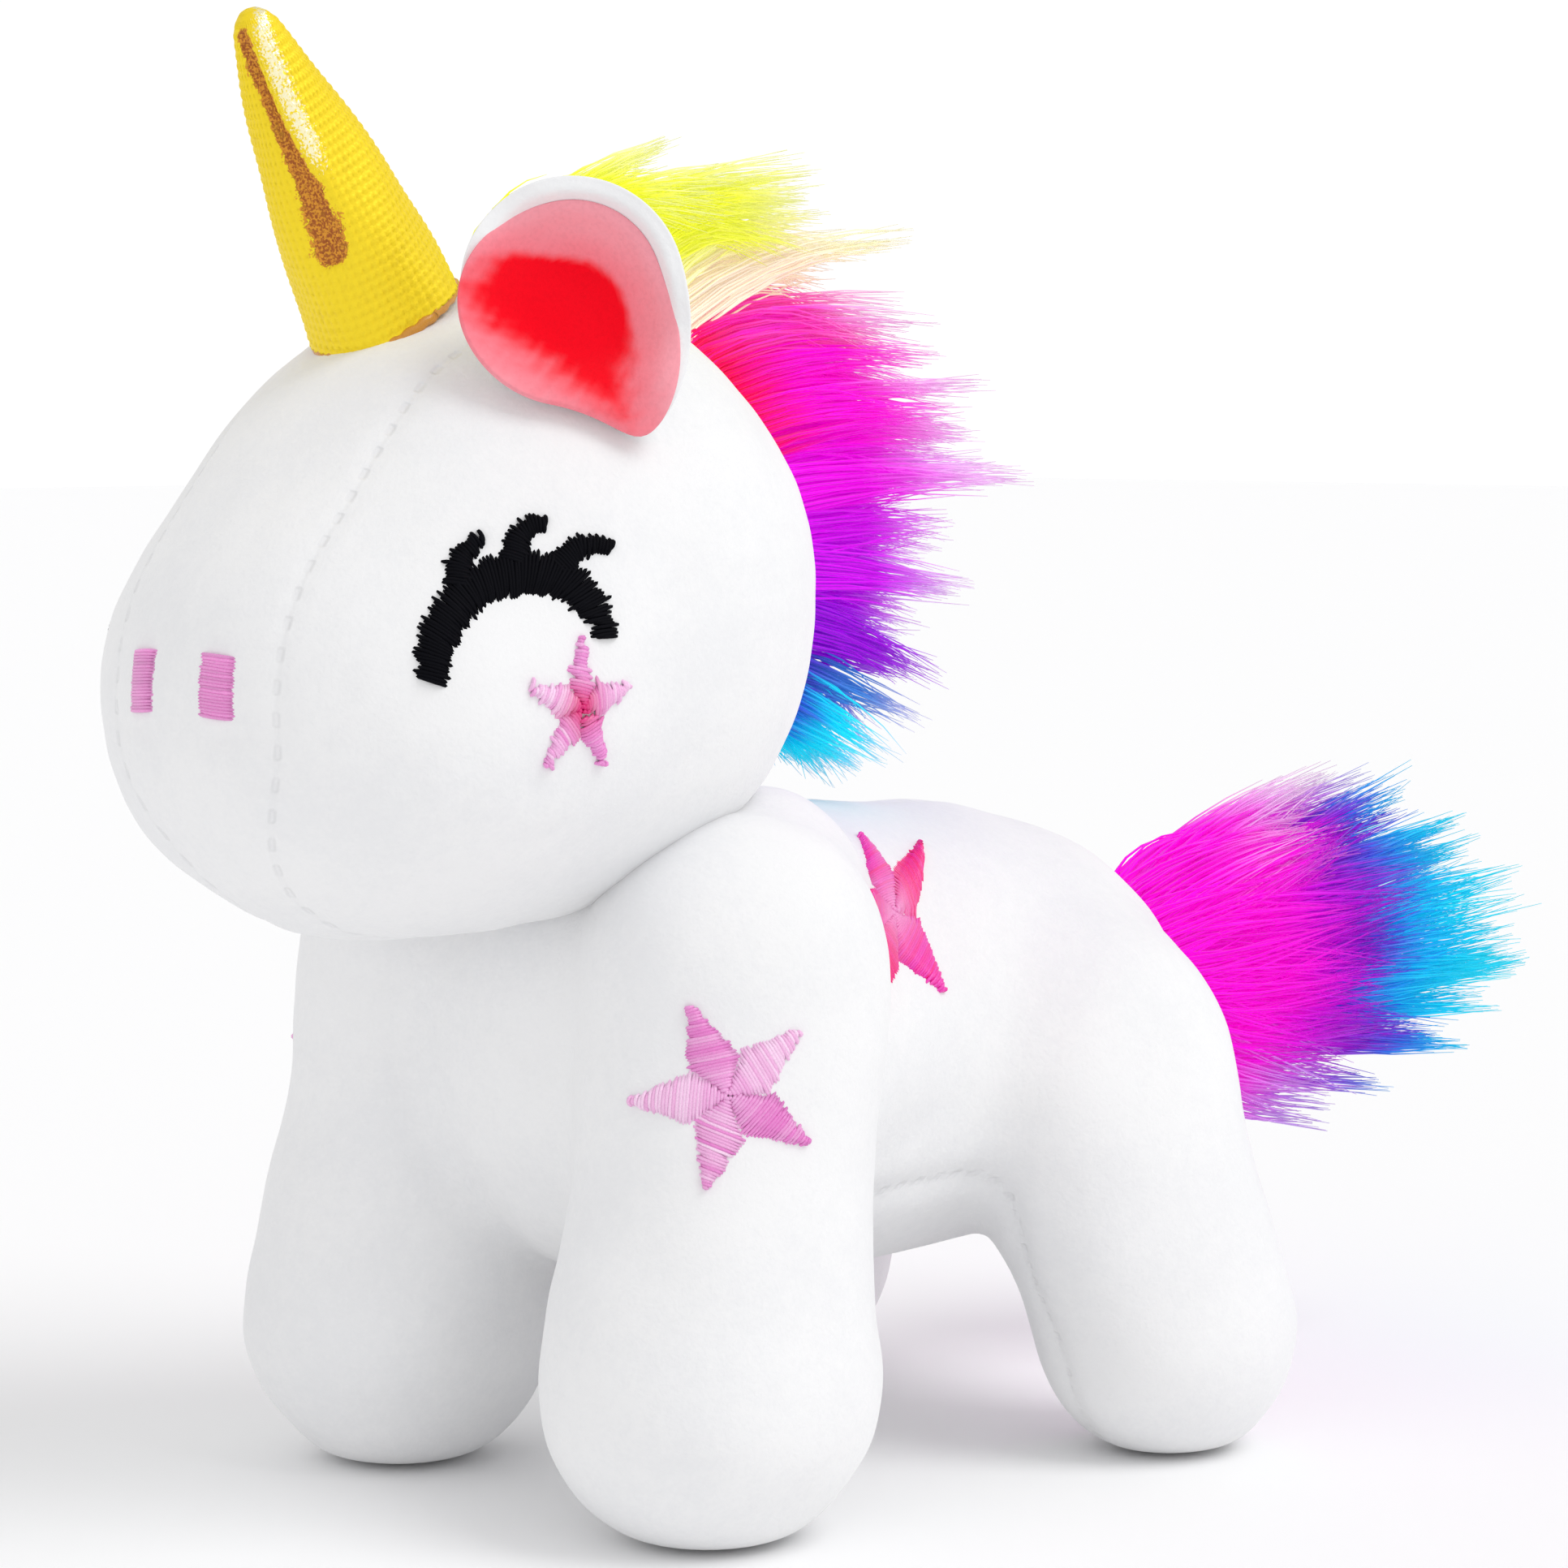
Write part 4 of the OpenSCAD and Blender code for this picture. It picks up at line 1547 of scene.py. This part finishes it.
@dataclass(frozen=True)
class Locks:
    """How hair is bundled into locks.

    Attributes:
        count: Number of locks.
        hairs: Hairs in each.
        steps: Points along a hair.
        gather: How closely the tips of a lock come together, from 0 to 1.
        thick: Radius of a hair at its root, in millimetres.
    """

    count: int
    hairs: int
    steps: int = 7
    gather: float = 0.72
    thick: float = 0.165

    def grow(
        self,
        rng: np.random.Generator,
        root: Callable[[Array, Array], Array],
        aim: Callable[[Array, Array], tuple[Array, Array]],
        tint: Callable[[Array, Array, Array], Array],
    ) -> Surface:
        """Grow all the hairs.

        Args:
            rng: Source of unevenness.
            root: Gives root points for two shares over the strip.
            aim: Gives the bend point and the tip, relative to the root, for the same shares.
            tint: Gives colours for both shares and the share along the hair.

        Returns:
            The hairs as one surface.
        """
        lock = np.repeat(np.arange(self.count), self.hairs)
        u0, v0 = rng.uniform(size=self.count), rng.uniform(-1.0, 1.0, size=self.count)
        spread = rng.normal(scale=(0.022, 0.22), size=(len(lock), 2))
        u = np.clip(u0[lock] + spread[:, 0], 0.0, 1.0)
        v = np.clip(v0[lock] + spread[:, 1], -1.0, 1.0)
        start = root(u, v)
        bend, tip = aim(u0, v0)
        lean = rng.normal(scale=1.0, size=(self.count, 3))
        length = rng.uniform(0.72, 1.12, size=self.count)[lock] * rng.uniform(0.8, 1.08, size=len(lock))
        middle = root(u0, v0)[lock]
        goal = middle + (tip + lean)[lock]
        own = start + tip[lock] + lean[lock]
        end = goal * self.gather + own * (1.0 - self.gather)
        end = start + (end - start) * length[:, None] + rng.normal(scale=0.5, size=(len(lock), 3))
        mid = start + bend[lock] + rng.normal(scale=0.45, size=(len(lock), 3))
        t = np.linspace(0.0, 1.0, self.steps)[None, :, None]
        paths = (1 - t) ** 2 * start[:, None] + 2 * t * (1 - t) * mid[:, None] + t**2 * end[:, None]
        wave = rng.uniform(0.0, 6.28, size=(len(lock), 1))
        side = rng.normal(size=(len(lock), 1, 3)) * 0.28
        paths = paths + side * (np.sin(t[..., 0] * 5.0 + wave) * t[..., 0])[..., None]
        taper = self.thick * (1.0 - 0.86 * t[..., 0] ** 1.8)
        shade = tint(u0[lock][:, None], v0[lock][:, None], t[..., 0] * length[:, None])
        shade = np.clip(shade * rng.uniform(0.92, 1.08, size=(len(lock), 1, 1)), 0.0, 1.0)
        return tubes(paths, taper, 3, shade)


def ramp(share: Array, stops: Sequence[tuple[float, Colour]]) -> Array:
    """Colours at shares along a list of stops."""
    places = [s[0] for s in stops]
    return np.stack([np.interp(share, places, [s[1][i] for s in stops]) for i in range(3)], axis=-1)


@dataclass
class Mane:
    """The rainbow mane on its strip up the back of the head."""

    low: float = -20.0
    high: float = 92.5
    half_strip: float = 3.6
    pile: float = 23.0
    rooted: float = 27.0
    skull_gap: float = 0.45
    crown: float = 0.66
    colours: tuple = (
        (0.00, (0.01, 0.25, 0.85)),
        (0.04, (0.02, 0.10, 0.72)),
        (0.07, (0.05, 0.03, 0.60)),
        (0.10, (0.28, 0.0, 0.68)),
        (0.16, (0.50, 0.0, 0.82)),
        (0.25, (0.72, 0.0, 0.86)),
        (0.36, (0.90, 0.0, 0.84)),
        (0.46, (0.95, 0.0, 0.76)),
        (0.58, (0.95, 0.0, 0.68)),
        (0.63, (0.95, 0.10, 0.45)),
        (0.66, (0.97, 0.84, 0.72)),
        (0.73, (0.95, 0.92, 0.50)),
        (0.80, (0.92, 0.95, 0.06)),
        (1.00, (0.93, 0.97, 0.004)),
    )
    red: Colour = (0.95, 0.0, 0.11)
    cyan: Colour = (0.0, 0.8, 0.98)
    yellow_tip: Colour = (0.95, 0.96, 0.6)
    lavender_tip: Colour = (0.92, 0.78, 0.96)

    def _normal(self, u: Array) -> Array:
        """Outward direction at a share along the strip."""
        a = np.radians(self.low + (self.high - self.low) * u)
        return np.stack([np.zeros_like(a), np.cos(a), np.sin(a)], axis=-1)

    def _root(self, u: Array, v: Array) -> Array:
        """Root points of the hairs."""
        out = self._normal(u) * self.rooted
        out[..., 0] += v * self.half_strip
        return out + np.array(SKULL.centre)

    def _aim(self, u: Array, v: Array) -> tuple[Array, Array]:
        """Bend points and tips of the hairs."""
        n = self._normal(u)
        top = smooth_step((u - self.crown + 0.06) / 0.1)
        rise = 0.02 - 0.65 * smooth_step((0.3 - u) / 0.3) + 0.16 * top * np.abs(np.sin(9.0 * v))
        sweep = unit(np.stack([0.42 * v, np.ones_like(u), rise], axis=-1))
        crest = np.sin(math.pi * np.clip(u * 0.9 + 0.1, 0.0, 1.0))
        size = self.pile * (0.66 + 0.4 * crest + 0.15 * top)
        tip = size[:, None] * unit((0.22 + 0.22 * top)[:, None] * n + sweep)
        bend = size[:, None] * ((0.34 + 0.12 * top)[:, None] * n + 0.16 * sweep)
        return bend, tip

    def _tint(self, u: Array, v: Array, t: Array) -> Array:
        """Rainbow along the strip, fading to lavender at the tips."""
        base = ramp(np.clip(u + 0.02 * np.sin(40.0 * v) + 0 * t, 0.0, 1.0), self.colours)
        span = smooth_step((u - 0.38) / 0.08) * smooth_step((0.64 - u) / 0.04)
        base = mixed(base, self.red, smooth_step((0.42 - t) / 0.3) * span)
        blue = smooth_step((t - 0.3) / 0.25) * smooth_step((0.11 - u) / 0.05)
        base = mixed(base, self.cyan, blue)
        wisp = np.where((u > self.crown)[..., None], self.yellow_tip, self.lavender_tip)
        return mixed(base, wisp, smooth_step((t - 0.62) / 0.42) * 0.8)

    def strip(self) -> Surface:
        """The strip of backing cloth that the hairs are sewn to."""
        share = np.linspace(0.0, 1.0, 70)
        out = self._normal(share)
        taper = np.sqrt(np.clip(1.0 - (2.0 * share - 1.0) ** 12, 0.02, 1.0))
        around = np.linspace(0.0, 2.0 * math.pi, 20, endpoint=False)
        across = (self.half_strip + 0.9) * taper[:, None] * np.cos(around)
        height = self.skull_gap + 0.55 * taper[:, None] * np.sin(around) - 0.02 * across**2
        points = out[:, None] * (self.rooted + height)[..., None]
        points[..., 0] += across
        rings, sides = across.shape
        faces = [tuple(range(sides)), tuple((rings - 1) * sides + i for i in range(sides))[::-1]]
        faces += [quad[::-1] for quad in ring_faces(rings, sides)]
        return Surface(points.reshape(-1, 3) + np.array(SKULL.centre), faces)

    def build(self) -> None:
        """Make the mane's pieces."""
        rng = np.random.default_rng(7)
        locks = Locks(count=detail(160), hairs=detail(42))
        hair = dress(locks.grow(rng, self._root, self._aim, self._tint).make("mane_locks"), Skin.HAIR)
        strip = dress(self.strip().make("mane_strip"), Skin.EAR_PLUSH)
        finish_piece(hair, ["mane_fur"], "head")
        finish_piece(strip, ["mane_backing"], "head")


@dataclass
class Tail:
    """The tail's fabric core and its long pile."""

    at: tuple[float, float, float] = (0.0, 30.5, 41.0)
    turn: float = 20.0
    bare: float = 4.0
    core: float = 17.0
    sunk: float = 4.0
    cloth: float = 23.0
    reach: float = 48.0
    colours: tuple = (
        (0.00, (0.95, 0.0, 0.72)),
        (0.46, (0.95, 0.0, 0.78)),
        (0.56, (0.62, 0.0, 0.76)),
        (0.65, (0.32, 0.01, 0.66)),
        (0.71, (0.05, 0.12, 0.82)),
        (0.77, (0.01, 0.55, 0.92)),
        (0.88, (0.0, 0.78, 0.95)),
        (1.10, (0.10, 0.86, 0.96)),
    )
    pink_tip: Colour = (0.95, 0.72, 0.88)
    violet_tip: Colour = (0.55, 0.45, 0.85)
    magenta: Colour = (0.85, 0.0, 0.6)
    purple: Colour = (0.5, 0.0, 0.6)

    def _place(self, p: Array) -> Array:
        """Tail coordinates (side, along, up) into the part's frame."""
        return p @ turned("Z", -self.turn).T + np.array(self.at)

    def _turned(self, v: Array) -> Array:
        """A direction in tail coordinates, turned into the part's frame."""
        return self._place(v) - np.array(self.at)

    def _root(self, u: Array, v: Array) -> Array:
        """Root points of the hairs on the core."""
        angle = v * math.pi
        radius = 4.5 - 2.2 * u
        across, high = radius * 0.9 * np.cos(angle), radius * 1.5 * np.sin(angle)
        return self._place(np.stack([across, self.bare + self.core * u, high], axis=-1))

    def _aim(self, u: Array, v: Array) -> tuple[Array, Array]:
        """Bend points and tips of the hairs."""
        angle = v * math.pi
        fan = 1.0 - 0.85 * u
        flare = np.stack([0.45 * np.cos(angle), 0 * u, 1.05 * np.sin(angle)], axis=-1)
        size = (21.0 + 9.0 * u)[:, None]
        tip = size * unit(np.array([0.0, 1.0, 0.1]) + 0.58 * fan[:, None] * flare)
        bend = size * (0.25 * np.array([0.0, 1.0, 0.0]) + 0.42 * fan[:, None] * flare)
        return self._turned(bend), self._turned(tip)

    def _tint(self, u: Array, v: Array, t: Array) -> Array:
        """Magenta at the root, then purple, blue and cyan."""
        along = (self.bare + self.core * u + (20.0 + 7.0 * u) * t) / self.reach
        high = np.sin(v * math.pi)
        along = along + 0.03 * np.sin(23.0 * v) + 0.05 * np.cos(v * 9.0) * (u - 0.5)
        base = ramp(along + 0 * t, self.colours)
        edge = smooth_step((0.45 - u) / 0.2) * smooth_step((np.abs(high) - 0.5) / 0.3)
        pale = np.where((high > 0)[..., None], self.pink_tip, self.violet_tip)
        return mixed(base, pale, smooth_step((t - 0.55) / 0.45) * edge * 0.8)

    def core_skin(self) -> Surface:
        """The tail's fabric core, a tapering stuffed tube."""
        base = ball(5)
        across, along, high = base.points.T
        along = (along + 1.0) / 2.0
        radius = 4.6 - 2.0 * along
        shape = [across * radius, self.cloth * along - self.sunk, high * radius * 1.2]
        dyed = mixed(np.array([self.magenta]), self.purple, along)
        return Surface(self._place(np.stack(shape, axis=-1)), base.faces, {"tint": dyed})

    def build(self) -> None:
        """Make the tail's pieces."""
        rng = np.random.default_rng(11)
        locks = Locks(count=detail(150), hairs=detail(36), thick=0.2)
        hair = dress(locks.grow(rng, self._root, self._aim, self._tint).make("tail_locks"), Skin.HAIR)
        core = dress(self.core_skin().make("tail_core"), Skin.LINING)
        finish_piece(hair, ["tail_fur"], "tail")
        finish_piece(core, ["tail_backing"], "tail")


# ------------------------------------------------------------------ studio


@dataclass
class StudioSet:
    """Plain paper floor, soft light and camera."""

    azimuth: float = 46.0
    elevation: float = 5.0
    distance: float = 400.0
    target: tuple[float, float, float] = (0.0, -8.7, 61.6)
    lens: float = 99.4
    sensor: float = 36.0
    floor_half: float = 4000.0
    floor_drop: float = 0.05
    key_from: tuple[float, float, float] = (0.62, 0.2, 0.8)
    key_strength: float = 1.0
    key_spread: float = 32.0
    horizon: float = 1.04
    overhead: float = 0.72

    def _towards_camera(self) -> Array:
        """Direction from the target to the camera."""
        a, e = math.radians(self.azimuth), math.radians(self.elevation)
        return np.array([math.sin(a) * math.cos(e), -math.cos(a) * math.cos(e), math.sin(e)])

    def camera(self) -> None:
        """Place the camera."""
        data = bpy.data.cameras.new("camera")
        data.lens = self.lens
        data.sensor_width = self.sensor
        data.clip_start = 0.01
        data.clip_end = 20.0
        obj = bpy.data.objects.new("camera", data)
        bpy.context.scene.collection.objects.link(obj)
        back = Vector(self._towards_camera())
        obj.location = (Vector(self.target) + back * self.distance) * MM
        obj.rotation_euler = back.to_track_quat("Z", "Y").to_euler()
        bpy.context.scene.camera = obj

    def paper(self) -> None:
        """Lay the pale floor."""
        corners = ((-1.0, -1.0), (1.0, -1.0), (1.0, 1.0), (-1.0, 1.0))
        points = np.array([(x * self.floor_half, y * self.floor_half, -self.floor_drop) for x, y in corners])
        floor = dress(Surface(points, [(0, 1, 2, 3)]).make("floor"), Skin.PAPER)

    def sun(self) -> None:
        """Set up the key light."""
        data = bpy.data.lights.new("key", "SUN")
        data.energy = self.key_strength
        data.angle = math.radians(self.key_spread)
        obj = bpy.data.objects.new("key", data)
        obj.rotation_euler = Vector(self.key_from).to_track_quat("Z", "Y").to_euler()
        bpy.context.scene.collection.objects.link(obj)

    def surroundings(self) -> None:
        """Surround the toy with white, brighter at the horizon than overhead."""
        world = bpy.data.worlds.new("surroundings")
        world.use_nodes = True
        tree = world.node_tree
        where = tree.nodes.new("ShaderNodeTexCoord")
        split = tree.nodes.new("ShaderNodeSeparateXYZ")
        fade = tree.nodes.new("ShaderNodeMapRange")
        spans = {"From Min": 0.05, "From Max": 0.7, "To Min": self.horizon, "To Max": self.overhead}
        for key, value in spans.items():
            fade.inputs[key].default_value = value
        tree.links.new(where.outputs["Generated"], split.inputs[0])
        tree.links.new(split.outputs["Z"], fade.inputs["Value"])
        tree.links.new(fade.outputs[0], tree.nodes["Background"].inputs["Strength"])
        tree.nodes["Background"].inputs["Color"].default_value = (1.0, 1.0, 1.0, 1.0)
        bpy.context.scene.world = world

    def build(self) -> None:
        """Set up floor, light, surroundings and camera."""
        self.paper()
        self.camera()
        self.sun()
        self.surroundings()
        bpy.context.scene.view_settings.view_transform = "Standard"


# ------------------------------------------------------------------ what stays CAD


def dress_cad() -> None:
    """Give the fibre in the neck, the one CAD piece that stays, a real finish."""
    dress(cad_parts["neck_stuffing"], Skin.FIBRE)


def main() -> None:
    """Build the toy and its studio."""
    logging.basicConfig(level=logging.INFO, format="%(name)s %(message)s")
    Body().build()
    Head().build()
    Horn().build()
    Ear("left", 1.0, (19.3, -51.1, 105.8)).build()
    Ear("right", -1.0, (15.6, -45.0, 105.6), lean=34.0, cup=3.4).build()
    Mane().build()
    Tail().build()
    dress_cad()
    StudioSet().build()


if __name__ == "__main__":
    main()
